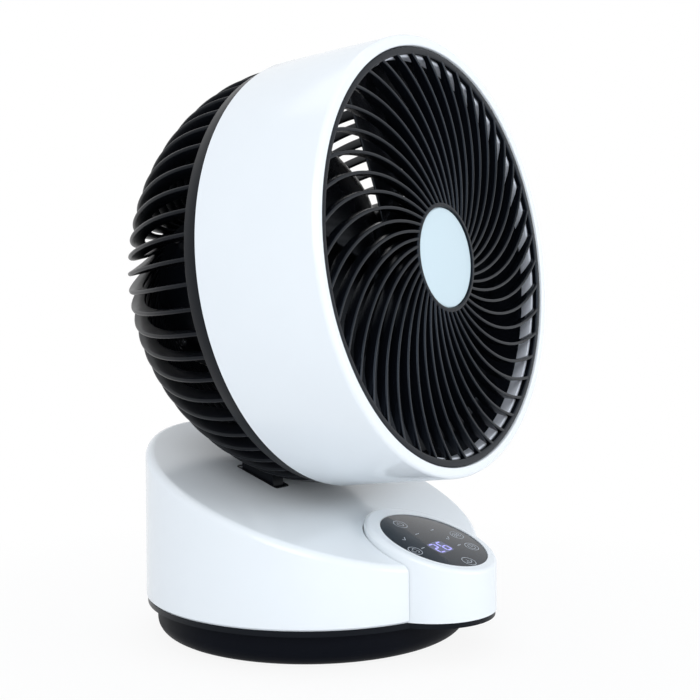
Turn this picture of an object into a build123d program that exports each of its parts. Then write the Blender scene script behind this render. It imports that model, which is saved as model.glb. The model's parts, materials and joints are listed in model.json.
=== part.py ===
from build123d import *
from math import acos, asin, atan2, cos, degrees, hypot, pi, radians, sin, sqrt, tan
import os

# A desk air circulator. A drum with a fan in it nods on a hinge in a slant-topped base, and the base
# swings from side to side on a round foot.
# Millimetres and degrees. +Z is up, the fan blows towards -Y, and the origin is on the table at the
# pan axis. Parts of the head are drawn with their axis along +Z, pointing forwards, and laid in place.

# ---- Foot ----
BODY_RADIUS = 106.5        # white base, outside
FOOT_SETBACK = 7.0         # foot wall inside the base wall
FOOT_CORNER = 9.0          # rounding of the foot's lower edge
FOOT_TOP = 20.0            # top of the foot wall
FOOT_WALL = 2.5
PAD_RADIUS = 80.0          # middle of the rubber ring
PAD_WIDTH = 8.0
PAD_DROP = 1.5             # how far the rubber ring lifts the foot
PAD_SEAT = 1.4             # depth of its groove
LID_THICKNESS = 2.5
LID_DROP = 1.0             # lid top below the top of the foot wall
LID_SCREW_RADIUS = 88.0
LID_SCREWS = 6
BALLAST_RADIUS = 72.0
BALLAST_THICKNESS = 6.0
BALLAST_HOLE = 30.0
PEG_RADIUS = 3.0
PEG_CIRCLE = 50.0
CORD_HOLE_RADIUS = 4.0
CORD_BORE_RADIUS = 2.8
CORD_PAD = 4.0             # thickening of the foot wall round the cord hole

# ---- Pan bearing and drive ----
SPINDLE_RADIUS = 14.0
SPINDLE_BORE = 8.0
SPINDLE_NECK = 11.0        # upper part that carries the fixed gear
SPINDLE_FLANGE = 26.0
SPINDLE_FLANGE_THICKNESS = 3.0
SPINDLE_SCREW_CIRCLE = 20.5
GLIDE_RADIUS = 75.0        # middle of the ring that the turntable glides on
GLIDE_WIDTH = 9.0
GLIDE_HEIGHT = 2.3
GEAR_MODULE = 1.0
GEAR_TEETH = 60
PINION_TEETH = 15
GEAR_WIDTH = 5.2
PINION_WIDTH = 4.4
PRESSURE_ANGLE = 20.0
BACKLASH = 0.25
PINION_ANGLE = -25.0       # where the pinion stands round the fixed gear
PINION_SHAFT_RADIUS = 2.5
MOTOR_CAN_RADIUS = 17.5
MOTOR_CAN_HEIGHT = 10.8
MOTOR_EAR_REACH = 21.0

# ---- Base ----
SKIRT_LOW = 24.1           # lower edge of the white base
FLOOR_THICKNESS = 3.2
WALL = 2.5
DECK_HEIGHT = 91.5         # slanted top, measured on the pan axis
DECK_SLOPE = 19.65
DECK_EDGE = 5.0            # rounding between the deck and the wall
SKIRT_EDGE = 1.2
HUB_RADIUS = 18.0          # boss of the floor round the spindle
HUB_TOP = 36.2
BOSS_RADIUS = 4.5
CONSOLE_RADIUS = 40.0
CONSOLE_SETBACK = 17.4     # console axis inside the base wall
CONSOLE_GROOVE = 0.6       # gap between the console and the base
CONSOLE_EDGE = 3.0
PANEL_RADIUS = 33.6
PANEL_FORWARD = 2.7        # panel centre in front of the console axis
PANEL_RISE = 5.9           # panel face above the deck
PANEL_THICKNESS = 2.0
PANEL_SUNK = 0.4
LEDGE_THICKNESS = 2.0
LEDGE_RADIUS = 26.0
BOARD_RADIUS = 31.0
BOARD_THICKNESS = 1.6
DISPLAY_WIDTH = 30.0
DISPLAY_DEPTH = 18.0

# ---- Tilt hinge ----
PIVOT_BACK = 30.0          # hinge axis behind the pan axis
PIVOT_DEPTH = 13.2         # hinge axis below the deck surface there
PIN_RADIUS = 4.0
ARM_INNER = 23.3           # inner face of each arm
ARM_WIDTH = 10.2
ARM_FRONT = 5.1            # front face of the arms where they meet the deck
ARM_BACK = 30.5
ARM_EYE = 8.0
STAND_EYE = 9.0
CHEEK_WIDTH = 8.0
WASHER_THICKNESS = 1.0
WASHER_RADIUS = 8.0
CLIP_THICKNESS = 1.0
CLIP_RADIUS = 6.5
STAND_HALF_WIDTH = 34.0
STAND_DEPTH = 26.0
STAND_PAD_HEIGHT = 5.0
STAND_FLANGE = 4.0

# ---- Head ----
HEAD_TILT = 5.0            # nose-up at rest
HEAD_FORWARD = 63.8        # head reference point in front of the hinge
HEAD_CLEARANCE = 5.0       # drum radius to hinge height, spare
DRUM_RADIUS = 134.0        # rear edge of the white drum
DRUM_BACK = -9.1
DRUM_FRONT = 69.8
DRUM_TAPER = 3.1
DRUM_WALL = 2.2
LIP_EDGE = 3.0
GRILLE_INSET = 10.1        # edge of the front guard inside the drum's outer radius
GRILLE_FACE = 68.5
GRILLE_RING = 4.3
RING_DEPTH = 3.4
SPOKE_DEPTH = 6.5
SPOKE_WIDTH = 2.0
SPOKE_TAPER = 12.0         # the spokes thin out over this length next to the ring
SPOKES = 44
SPOKE_ARC = 95.1           # each spoke is an arc of this radius
SPOKE_ARC_CENTER = 87.0    # whose centre is this far from the head axis
SPOKE_PHASE = 53.7
CAP_RADIUS = 30.1
CAP_THICKNESS = 2.6
CAP_RIM = 2.4
DUCT_INSET = 15.5          # bore of the air duct inside the drum's outer radius
DUCT_WALL = 2.2
DUCT_SCREWS = 6
DOME_INSET = 1.9           # dome below the drum's rear radius
DOME_START = -23.7         # where the dome leaves the band
SHOULDER_RADIUS = 90.0
SHOULDER_SWEEP = 24.0
BACK_RADIUS = 134.0
BAND_BACK = -18.9
RIB_DEPTH = 5.5
RIB_WIDTH = 2.8
RIBS = 60
RIB_SKEW = 0.855           # how near each rib's circle comes to the axis, as a share of the slots' inner radius
RIB_PHASE = 4.4
REAR_HUB = 50.0
REAR_HOLE = 44.0
MOUNT_PAD_HALF = 36.0
MOUNT_PAD_LENGTH = 61.0
SADDLE_THICKNESS = 4.0
SPOT_FACE = 0.8            # how deep the saddle screws are sunk in it

# ---- Fan and motor ----
TIP_GAP = 4.5              # between the blade tips and the bore of the air duct
BLADES = 7
BLADE_PHASE = 25.0
BLADE_SECTIONS = [         # share of the wheel's radius, chord, pitch, camber, lead, axial middle
    (0.246, 42, 55, 4.0, 19, 22.2),
    (0.526, 68, 45.5, 5.5, 3.2, 25.6),
    (0.790, 84, 22.5, 7.0, 14.8, 18.2),
    (1.088, 83, 14.0, 7.0, 26, 21.2),
]
NOSE_RADIUS = 37.0         # impeller hub
NOSE_BACK = -1.0
NOSE_FRONT = 43.0
NOSE_EDGE = 8.0
NOSE_WALL = 2.5
SHAFT_RADIUS = 4.0
SHAFT_FRONT = 51.0
SHAFT_BACK = -92.0
NUT_RADIUS = 9.0
NUT_HEIGHT = 8.0
POD_RADIUS = 45.0
POD_WALL = 2.5
POD_FRONT = -23.0
POD_FACE = 3.0
MOTOR_RADIUS = 38.0
BELL_WALL = 5.5
BELL_FACE = 4.0
CORE_FRONT = -48.0
CORE_BACK = -72.0
BELL_DEPTH = 18.0
ROTOR_RADIUS = 21.4
AIR_GAP = 0.6
STATOR_TEETH = 8
BEARING_RADIUS = 9.0
BEARING_WIDTH = 7.0

# ---- Fasteners and clearances ----
SCREW_RADIUS = 1.5
SCREW_HEAD = 2.8
HEAD_HEIGHT = 1.6
SCREW_PLAY = 0.2           # screw in a plain hole
THREAD_PLAY = 0.04         # screw in its thread
SEAT_GAP = 0.2             # between parts that are assembled on each other
SWING_GAP = 0.8            # between parts that move past each other
RUNNING_GAP = 0.05         # between a shaft and its bearing

# ---- Worked out from the sizes above ----
foot_radius = BODY_RADIUS - FOOT_SETBACK
floor_low = FOOT_TOP + SWING_GAP
floor_top = floor_low + FLOOR_THICKNESS
lid_top = FOOT_TOP - LID_DROP
lid_low = lid_top - LID_THICKNESS
spindle_shoulder = HUB_TOP + 0.3
gear_low = spindle_shoulder
gear_center_distance = GEAR_MODULE * (GEAR_TEETH + PINION_TEETH) / 2
pinion_x = gear_center_distance * cos(radians(PINION_ANGLE))
pinion_y = gear_center_distance * sin(radians(PINION_ANGLE))
slope = tan(radians(DECK_SLOPE))
console_y = -(BODY_RADIUS - CONSOLE_SETBACK)
panel_y = console_y - PANEL_FORWARD
pivot_z = DECK_HEIGHT + slope * PIVOT_BACK - PIVOT_DEPTH
head_y = PIVOT_BACK - HEAD_FORWARD
head_z = pivot_z + DRUM_RADIUS + HEAD_CLEARANCE
dome_radius = DRUM_RADIUS - DOME_INSET
grille_radius = DRUM_RADIUS - GRILLE_INSET
duct_radius = DRUM_RADIUS - DUCT_INSET
impeller_radius = duct_radius - TIP_GAP
rib_miss = RIB_SKEW * (REAR_HUB + 3)
rib_arc = (dome_radius ** 2 - rib_miss ** 2) / (2 * rib_miss)
stand_half = ARM_INNER - 0.3 - WASHER_THICKNESS
stand_low = floor_top + STAND_PAD_HEIGHT

LOW = (Align.CENTER, Align.CENTER, Align.MIN)
HEAD = Location((0, head_y, head_z), (90 - HEAD_TILT, 0, 0))
DECK = Plane(origin=(0, 0, DECK_HEIGHT), x_dir=(1, 0, 0),
             z_dir=(0, -sin(radians(DECK_SLOPE)), cos(radians(DECK_SLOPE))))
PANEL = Plane(origin=(0, panel_y, DECK_HEIGHT + slope * panel_y + PANEL_RISE), x_dir=(1, 0, 0),
              z_dir=DECK.z_dir)


# ---- Shapes used more than once ----
def drum(radius, low, high, x=0.0, y=0.0):
    """A plain cylinder along Z between two heights."""
    return Pos(x, y, low) * Cylinder(radius, high - low, align=LOW)


def tube(outer, inner, low, high, x=0.0, y=0.0):
    """A pipe along Z between two heights."""
    return drum(outer, low, high, x, y) - drum(inner, low - 1, high + 1, x, y)


def block(x0, x1, y0, y1, z0, z1):
    """A box between two corners."""
    return Pos(x0, y0, z0) * Box(x1 - x0, y1 - y0, z1 - z0, align=Align.MIN)


def turned(*points):
    """A solid of revolution about Z, from points (radius, height)."""
    return revolve(make_face(Polyline(*[(r, 0, z) for r, z in points], close=True)), Axis.Z)


def around(count, radius, start=0.0):
    """Positions spaced evenly round Z."""
    return [(radius * cos(radians(start + 360 * k / count)), radius * sin(radians(start + 360 * k / count)))
            for k in range(count)]


def screw(length, radius=SCREW_RADIUS, head=SCREW_HEAD, height=HEAD_HEIGHT):
    """A pan-head screw that points down, with the underside of its head at the origin."""
    body = drum(head, 0, height) + drum(radius, -length, 0)
    slot = Pos(0, 0, height) * (Box(head * 1.2, head * 0.3, height) + Box(head * 0.3, head * 1.2, height))
    return body - slot


def group(solids):
    """Separate solids kept as one piece of the list."""
    return Compound(children=solids)


def under(radius, low, plane, y=0.0, drop=0.0):
    """A cylinder that stands on a height and is cut off along a slanted plane."""
    high = 3 * BODY_RADIUS
    above = plane.offset(-drop) * Box(4 * BODY_RADIUS, 8 * BODY_RADIUS, 4 * BODY_RADIUS, align=LOW)
    return drum(radius, low, high, 0, y) - above


def arc_about(center, radius, start, end):
    """The short arc of a circle in the XY plane between two of its points."""
    mx, my = (start[0] + end[0]) / 2 - center[0], (start[1] + end[1]) / 2 - center[1]
    scale = radius / hypot(mx, my)
    return ThreePointArc(start, (center[0] + mx * scale, center[1] + my * scale), end)


def curved_slot(center_distance, arc_radius, bar_width, first, step, inner, outer, side):
    """The opening between two neighbouring bars of a grille.

    Each bar is an arc about a centre that is center_distance from the axis, in the direction first,
    and the next bar is the same arc turned by step. The opening is closed by two circles about the axis.
    The bars run on the side of the centre line that side gives, -1 clockwise and +1 counterclockwise.
    """
    corners, centers, radii = [], [], []
    half = side * bar_width / 2
    for turn, radius in ((0.0, arc_radius + half), (step, arc_radius - half)):
        angle = radians(first + turn)
        centers.append((center_distance * cos(angle), center_distance * sin(angle)))
        radii.append(radius)
        for r in (inner, outer):
            lean = acos((r * r + center_distance ** 2 - radius ** 2) / (2 * r * center_distance))
            corners.append((r * cos(angle + side * lean), r * sin(angle + side * lean)))
    a, b, c, d = corners
    edges = [arc_about(centers[0], radii[0], a, b), arc_about((0, 0), outer, b, d),
             arc_about(centers[1], radii[1], d, c), arc_about((0, 0), inner, c, a)]
    return make_face(edges)


# ---- Foot ----
def foot_shell():
    """The black dish that stands on the table, with posts for the lid and pegs for the ballast."""
    low, floor = PAD_DROP, PAD_DROP + FOOT_WALL
    edge = foot_radius - FOOT_CORNER
    inner = foot_radius - FOOT_WALL
    outer_arc = ThreePointArc((edge, 0, low),
                              (edge + FOOT_CORNER * sin(pi / 4), 0, low + FOOT_CORNER * (1 - cos(pi / 4))),
                              (foot_radius, 0, low + FOOT_CORNER))
    small = FOOT_CORNER - FOOT_WALL
    inner_arc = ThreePointArc((inner, 0, low + FOOT_CORNER),
                              (edge + small * sin(pi / 4), 0, low + FOOT_CORNER - small * cos(pi / 4)),
                              (edge, 0, floor))
    section = make_face([
        Line((0, 0, low), (edge, 0, low)), outer_arc,
        Line((foot_radius, 0, low + FOOT_CORNER), (foot_radius, 0, FOOT_TOP)),
        Line((foot_radius, 0, FOOT_TOP), (inner, 0, FOOT_TOP)),
        Line((inner, 0, FOOT_TOP), (inner, 0, low + FOOT_CORNER)), inner_arc,
        Line((edge, 0, floor), (0, 0, floor)), Line((0, 0, floor), (0, 0, low))])
    shell = revolve(section, Axis.Z)
    for x, y in around(LID_SCREWS, LID_SCREW_RADIUS):
        shell += drum(BOSS_RADIUS, low + FOOT_WALL / 2, lid_low, x, y)
        shell -= drum(SCREW_RADIUS + THREAD_PLAY, floor, FOOT_TOP, x, y)
    for x, y in around(3, PEG_CIRCLE, 90):
        shell += drum(PEG_RADIUS, low + FOOT_WALL / 2, floor + BALLAST_THICKNESS + 1.5, x, y)
    shell -= tube(PAD_RADIUS + PAD_WIDTH / 2 + SEAT_GAP, PAD_RADIUS - PAD_WIDTH / 2 - SEAT_GAP,
                  low - 1, low + PAD_SEAT)
    shell += block(-8, 8, inner - CORD_PAD, inner + 0.5, floor - 0.5, lid_low - 0.4) & drum(foot_radius - 1, 0, 30)
    hole = Pos(0, foot_radius, cord_height()) * Rot(90, 0, 0) * Cylinder(CORD_HOLE_RADIUS, 12 * FOOT_WALL)
    return shell - hole


def cord_height():
    """Height of the hole for the supply cord: in the straight part of the foot wall."""
    return PAD_DROP + FOOT_CORNER + 0.1


def pad_ring():
    """Rubber ring under the foot."""
    return tube(PAD_RADIUS + PAD_WIDTH / 2, PAD_RADIUS - PAD_WIDTH / 2, 0, PAD_DROP + PAD_SEAT)


def foot_lid():
    """Plate that closes the foot and carries the spindle and the glide ring."""
    lid = tube(foot_radius - FOOT_WALL - 0.3, SPINDLE_RADIUS + 0.3, lid_low, lid_top)
    lid -= tube(GLIDE_RADIUS + GLIDE_WIDTH / 2 + SEAT_GAP, GLIDE_RADIUS - GLIDE_WIDTH / 2 - SEAT_GAP,
                lid_top - 0.8, lid_top + 1)
    for x, y in around(LID_SCREWS, LID_SCREW_RADIUS):
        lid -= drum(SCREW_RADIUS + SCREW_PLAY, lid_low - 1, lid_top + 1, x, y)
        lid -= drum(SCREW_HEAD + SCREW_PLAY, lid_top - 1.2, lid_top + 1, x, y)
    for x, y in around(4, SPINDLE_SCREW_CIRCLE, 45):
        lid -= drum(SCREW_RADIUS + THREAD_PLAY, lid_low - 1, lid_top + 1, x, y)
    return lid


def lid_screws():
    """Screws that hold the lid on the foot, heads sunk in the lid."""
    return group([Pos(x, y, lid_top - 1.2) * screw(10, height=1.0)
                  for x, y in around(LID_SCREWS, LID_SCREW_RADIUS)])


def ballast_plate():
    """Steel disc that keeps the fan from tipping, held on three pegs."""
    low = PAD_DROP + FOOT_WALL
    plate = tube(BALLAST_RADIUS, BALLAST_HOLE, low, low + BALLAST_THICKNESS)
    for x, y in around(3, PEG_CIRCLE, 90):
        plate -= drum(PEG_RADIUS + SEAT_GAP, low - 1, low + BALLAST_THICKNESS + 1, x, y)
    return plate


def cord_bush():
    """Grooved rubber bush in the back of the foot, where the supply cord goes in."""
    inside, outside = foot_radius - FOOT_WALL - CORD_PAD - SEAT_GAP, foot_radius + SEAT_GAP
    profile = [(CORD_BORE_RADIUS, inside - 2), (CORD_HOLE_RADIUS + 1.2, inside - 2),
               (CORD_HOLE_RADIUS + 1.2, inside), (CORD_HOLE_RADIUS - 0.1, inside),
               (CORD_HOLE_RADIUS - 0.1, outside), (CORD_HOLE_RADIUS + 1.2, outside),
               (CORD_HOLE_RADIUS + 0.4, outside + 1.6), (CORD_BORE_RADIUS, outside + 1.6)]
    return Pos(0, 0, cord_height()) * Rot(-90, 0, 0) * turned(*profile)


# ---- Pan bearing and drive ----
def pan_spindle():
    """Hollow post that the base turns on, with a flange screwed under the lid."""
    top = gear_low + GEAR_WIDTH + 4.5
    post = drum(SPINDLE_FLANGE, lid_low - SPINDLE_FLANGE_THICKNESS, lid_low)
    post += drum(SPINDLE_RADIUS, lid_low - 1, spindle_shoulder)
    neck = drum(SPINDLE_NECK, spindle_shoulder - 1, top)
    flat = SPINDLE_NECK - 1.5
    for side in (-1, 1):
        neck -= Pos(side * (flat + SPINDLE_NECK), 0, 0) * Box(2 * SPINDLE_NECK, 60, 400)
    post += neck
    post -= drum(SPINDLE_BORE, 0, top + 1)
    for x, y in around(4, SPINDLE_SCREW_CIRCLE, 45):
        post -= drum(SCREW_RADIUS + SCREW_PLAY, 0, lid_low + 0.5, x, y)
    return post


def spindle_screws():
    """Screws up through the spindle flange into the lid."""
    low = lid_low - SPINDLE_FLANGE_THICKNESS
    return group([Pos(x, y, low) * Rot(180, 0, 0) * screw(5.0)
                  for x, y in around(4, SPINDLE_SCREW_CIRCLE, 45)])


def glide_ring():
    """Slippery ring in a groove of the lid, under the turning floor."""
    return tube(GLIDE_RADIUS + GLIDE_WIDTH / 2, GLIDE_RADIUS - GLIDE_WIDTH / 2,
                lid_top - 0.8, lid_top - 0.8 + GLIDE_HEIGHT)


def gear_blank(teeth, width, turn):
    """A spur gear along Z with involute flanks, one tooth centred at the angle turn."""
    pitch = teeth * GEAR_MODULE / 2
    alpha = radians(PRESSURE_ANGLE)
    base = pitch * cos(alpha)
    tip = pitch + 0.95 * GEAR_MODULE
    root = pitch - 1.2 * GEAR_MODULE
    half = pi / (2 * teeth) - BACKLASH / (4 * pitch)

    def half_angle(radius):
        lean = acos(min(1.0, base / radius))
        return half + (tan(alpha) - alpha) - (tan(lean) - lean)

    flank = [(root, half_angle(base))] if root < base else []
    start = max(root, base)
    flank += [(start + (tip - start) * k / 3, half_angle(start + (tip - start) * k / 3)) for k in range(4)]
    outline = []
    for k in range(teeth):
        middle = radians(turn) + 2 * pi * k / teeth
        outline += [(r * cos(middle - a), r * sin(middle - a)) for r, a in flank]
        outline += [(r * cos(middle + a), r * sin(middle + a)) for r, a in reversed(flank)]
    return extrude(make_face(Polyline(*outline, close=True)), width)


def pan_gear():
    """Gear fixed on the spindle. Its underside also keeps the base from lifting off."""
    gear = Pos(0, 0, gear_low) * gear_blank(GEAR_TEETH, GEAR_WIDTH, PINION_ANGLE)
    bore = drum(SPINDLE_NECK + THREAD_PLAY, gear_low - 1, gear_low + GEAR_WIDTH + 1)
    flat = SPINDLE_NECK - 1.5 + THREAD_PLAY
    for side in (-1, 1):
        bore -= Pos(side * (flat + SPINDLE_NECK), 0, gear_low) * Box(2 * SPINDLE_NECK, 60, 60)
    return gear - bore


def spindle_nut():
    """Hexagon nut that clamps the gear on the spindle."""
    low = gear_low + GEAR_WIDTH
    nut = Pos(0, 0, low) * extrude(RegularPolygon(SPINDLE_NECK + 5, 6), 4)
    return nut - drum(SPINDLE_NECK + THREAD_PLAY, low - 1, low + 5)


def pan_motor():
    """Flat geared motor on the floor: a can, two ears and a shaft boss."""
    low = floor_top
    can = drum(MOTOR_CAN_RADIUS, low, low + MOTOR_CAN_HEIGHT, pinion_x, pinion_y)
    can = fillet(can.edges().group_by(Axis.Z)[-1], 0.8)
    for side in (-1, 1):
        y = pinion_y + side * MOTOR_EAR_REACH
        ear = block(pinion_x - 3.5, pinion_x + 3.5, min(y, pinion_y), max(y, pinion_y), low, low + 1.2)
        ear += drum(3.5, low, low + 1.2, pinion_x, y)
        can += ear
        can -= drum(SCREW_RADIUS + SCREW_PLAY, low - 1, low + 3, pinion_x, y)
    boss_top = low + MOTOR_CAN_HEIGHT + 1.2
    can += drum(4.5, low + 1, boss_top, pinion_x, pinion_y)
    return can - drum(PINION_SHAFT_RADIUS + RUNNING_GAP, low + 3, boss_top + 1, pinion_x, pinion_y)


def pan_motor_screws():
    """Screws through the motor's ears into the floor."""
    return group([Pos(pinion_x, pinion_y + side * MOTOR_EAR_REACH, floor_top + 1.2) * screw(3.8)
                  for side in (-1, 1)])


def pinion_shaft():
    """Output shaft of the pan motor."""
    return drum(PINION_SHAFT_RADIUS, floor_top + 3.4, gear_low + GEAR_WIDTH + 1, pinion_x, pinion_y)


def pan_pinion():
    """Small gear on the motor shaft. It rolls round the fixed gear and swings the base."""
    lift = gear_low + (GEAR_WIDTH - PINION_WIDTH) / 2
    turn = PINION_ANGLE + 180 + 180 / PINION_TEETH
    gear = Pos(pinion_x, pinion_y, lift) * gear_blank(PINION_TEETH, PINION_WIDTH, turn)
    return gear - drum(PINION_SHAFT_RADIUS + 0.01, lift - 1, lift + GEAR_WIDTH + 1, pinion_x, pinion_y)


# ---- Base ----
def boss_places():
    """Where the base shell is screwed to the floor."""
    reach = BODY_RADIUS - WALL - BOSS_RADIUS - 1
    return around(4, reach, 45)


def console_boss_places():
    """Where the console is screwed to the floor."""
    reach = CONSOLE_RADIUS - WALL - BOSS_RADIUS + 0.5
    return [(-reach, console_y), (reach, console_y)]


def slot_box(side):
    """Opening in the deck for one hinge arm, with room for its swing."""
    x = side * (ARM_INNER + ARM_WIDTH / 2)
    half = ARM_WIDTH / 2 + SWING_GAP
    return block(x - half, x + half, ARM_FRONT - 2.7, ARM_BACK + 3.3, DECK_HEIGHT - 20, DECK_HEIGHT + 60)


def base_shell():
    """White outer cover: a round wall and a slanted deck, with a notch for the console."""
    outer = under(BODY_RADIUS, SKIRT_LOW, DECK)
    outer = fillet(outer.edges().group_by(Axis.Z)[-1], DECK_EDGE)
    outer = chamfer(outer.edges().group_by(Axis.Z)[0], SKIRT_EDGE)
    inner = under(BODY_RADIUS - WALL, SKIRT_LOW - 1, DECK, drop=WALL)
    inner = fillet(inner.edges().group_by(Axis.Z)[-1], DECK_EDGE - WALL)
    bosses = [drum(BOSS_RADIUS, SKIRT_LOW, DECK_HEIGHT + BODY_RADIUS, x, y) & inner for x, y in boss_places()]
    shell = outer - inner
    for boss in bosses:
        shell += boss
    for x, y in boss_places():
        shell -= drum(SCREW_RADIUS + THREAD_PLAY, SKIRT_LOW - 1, SKIRT_LOW + 12, x, y)
    shell -= drum(CONSOLE_RADIUS + CONSOLE_GROOVE, 0, 3 * BODY_RADIUS, 0, console_y)
    for side in (-1, 1):
        shell -= slot_box(side)
    return shell


def base_floor():
    """Black plate under the base and the console, with the boss that turns on the spindle."""
    floor = drum(BODY_RADIUS - 0.8, floor_low, floor_top) + drum(CONSOLE_RADIUS - 0.8, floor_low, floor_top,
                                                                 0, console_y)
    floor += drum(HUB_RADIUS, floor_low, HUB_TOP)
    y0 = PIVOT_BACK - 2
    floor += block(-STAND_HALF_WIDTH, STAND_HALF_WIDTH, y0, y0 + STAND_DEPTH + 2, floor_top - 1, stand_low)
    floor -= drum(SPINDLE_RADIUS + RUNNING_GAP, 0, HUB_TOP + 1)
    for x, y in boss_places() + console_boss_places():
        floor -= drum(SCREW_RADIUS + SCREW_PLAY, floor_low - 1, floor_top + 1, x, y)
        floor -= drum(SCREW_HEAD + SCREW_PLAY, floor_low - 1, floor_low + HEAD_HEIGHT + 0.1, x, y)
    for x, y in stand_screw_places():
        floor -= drum(SCREW_RADIUS + THREAD_PLAY, floor_low + 1, stand_low + 1, x, y)
    for side in (-1, 1):
        floor -= drum(SCREW_RADIUS + THREAD_PLAY, floor_low + 0.6, floor_top + 1,
                      pinion_x, pinion_y + side * MOTOR_EAR_REACH)
    for x, y in main_board_places():
        floor += drum(3.2, floor_top - 1, floor_top + 6, x, y)
        floor -= drum(SCREW_RADIUS * 0.8 + THREAD_PLAY, floor_top, floor_top + 7, x, y)
    return floor


def floor_screws():
    """Screws up through the floor into the base shell and the console."""
    return group([Pos(x, y, floor_low + HEAD_HEIGHT + 0.1) * Rot(180, 0, 0) * screw(9)
                  for x, y in boss_places() + console_boss_places()])


def console_housing():
    """White upright cylinder at the front that carries the touch panel."""
    rim = PANEL.offset(PANEL_SUNK)
    outer = under(CONSOLE_RADIUS, SKIRT_LOW, rim, console_y)
    outer = fillet(outer.edges().group_by(Axis.Z)[-1], CONSOLE_EDGE)
    top_plate = PANEL_SUNK + PANEL_THICKNESS + SEAT_GAP + LEDGE_THICKNESS
    inner = under(CONSOLE_RADIUS - WALL, SKIRT_LOW - 1, rim, console_y, drop=top_plate)
    shell = outer - inner
    for x, y in console_boss_places():
        shell += drum(BOSS_RADIUS, SKIRT_LOW, SKIRT_LOW + 16, x, y) & inner
        shell -= drum(SCREW_RADIUS + THREAD_PLAY, SKIRT_LOW - 1, SKIRT_LOW + 12, x, y)
    shell -= PANEL * drum(PANEL_RADIUS + SEAT_GAP, -PANEL_THICKNESS - SEAT_GAP, 10)
    shell -= PANEL * drum(LEDGE_RADIUS, -20, 10)
    for x, y in around(3, (LEDGE_RADIUS + BOARD_RADIUS) / 2, 90):
        shell -= PANEL * drum(1.04, ledge_low() - 1, ledge_low() + LEDGE_THICKNESS - 0.4, x, y)
    return shell


def ledge_low():
    """Underside of the panel ledge, measured from the panel face along its normal."""
    return -(PANEL_THICKNESS + SEAT_GAP + LEDGE_THICKNESS)


def touch_panel():
    """Dark glossy round window with the touch keys."""
    panel = drum(PANEL_RADIUS, -PANEL_THICKNESS, 0)
    return PANEL * chamfer(panel.edges().group_by(Axis.Z)[-1], 0.35)


def control_board():
    """Round board with the touch sensors, under the ledge of the console."""
    top = ledge_low() - SEAT_GAP
    board = drum(BOARD_RADIUS, top - BOARD_THICKNESS, top)
    for x, y in around(3, (LEDGE_RADIUS + BOARD_RADIUS) / 2, 90):
        board -= drum(1.0 + SCREW_PLAY, -20, 20, x, y)
    for x, y in around(5, 20.5, -18):
        board += drum(3.5, top - 0.5, -PANEL_THICKNESS - 0.3, x, y)
    board += block(-9, 9, -22, -16, top - BOARD_THICKNESS - 7, top - BOARD_THICKNESS + 0.5)
    return PANEL * board


def board_screws():
    """Small screws that hold the control board under the ledge."""
    low = ledge_low() - SEAT_GAP - BOARD_THICKNESS
    return group([PANEL * Pos(x, y, low) * Rot(180, 0, 0) * screw(3.0, 1.0, 1.9, 1.2)
                  for x, y in around(3, (LEDGE_RADIUS + BOARD_RADIUS) / 2, 90)])


def display_module():
    """Two-digit light display between the board and the panel."""
    top = ledge_low() - SEAT_GAP
    body = block(-DISPLAY_WIDTH / 2, DISPLAY_WIDTH / 2, -DISPLAY_DEPTH / 2, DISPLAY_DEPTH / 2,
                 top, -PANEL_THICKNESS - 0.3)
    return PANEL * body


def main_board_places():
    """Posts of the floor that carry the main board."""
    return [(x, y) for x in (-84, -42) for y in (-28, 20)]


def main_board():
    """Supply and motor board, with its transformer, capacitors and connectors."""
    low = floor_top + 6
    board = block(-89, -37, -33, 25, low, low + 1.6)
    for x, y in main_board_places():
        board -= drum(SCREW_RADIUS * 0.8 + SCREW_PLAY, low - 1, low + 3, x, y)
    board += block(-80, -60, -20, -2, low + 1, low + 19)
    board += drum(5, low + 1, low + 17, -52, -20)
    board += drum(4, low + 1, low + 14, -52, -9)
    board += block(-76, -50, 6, 12, low + 1, low + 9)
    board += block(-46, -42, -6, 8, low + 1, low + 7)
    return board


def main_board_screws():
    """Screws of the main board."""
    top = floor_top + 6 + 1.6
    return group([Pos(x, y, top) * screw(5, SCREW_RADIUS * 0.8, 2.3, 1.3) for x, y in main_board_places()])


# ---- Tilt hinge ----
def stand_screw_places():
    """Corners of the hinge stand's flange."""
    y0 = PIVOT_BACK
    return [(side * (STAND_HALF_WIDTH - 6), y) for side in (-1, 1) for y in (y0 + 6, y0 + STAND_DEPTH - 6)]


def cross_pin(radius, length, middle=0.0):
    """A cylinder along X at the hinge axis."""
    return Pos(middle, PIVOT_BACK, pivot_z) * Rot(0, 90, 0) * Cylinder(radius, length)


def side_profile(points, x0, x1):
    """A plate with an outline of (y, z) points, from x0 to x1."""
    face = make_face(Polyline(*[(x0, y, z) for y, z in points], close=True))
    return extrude(face, x1 - x0, dir=(1, 0, 0))


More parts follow.
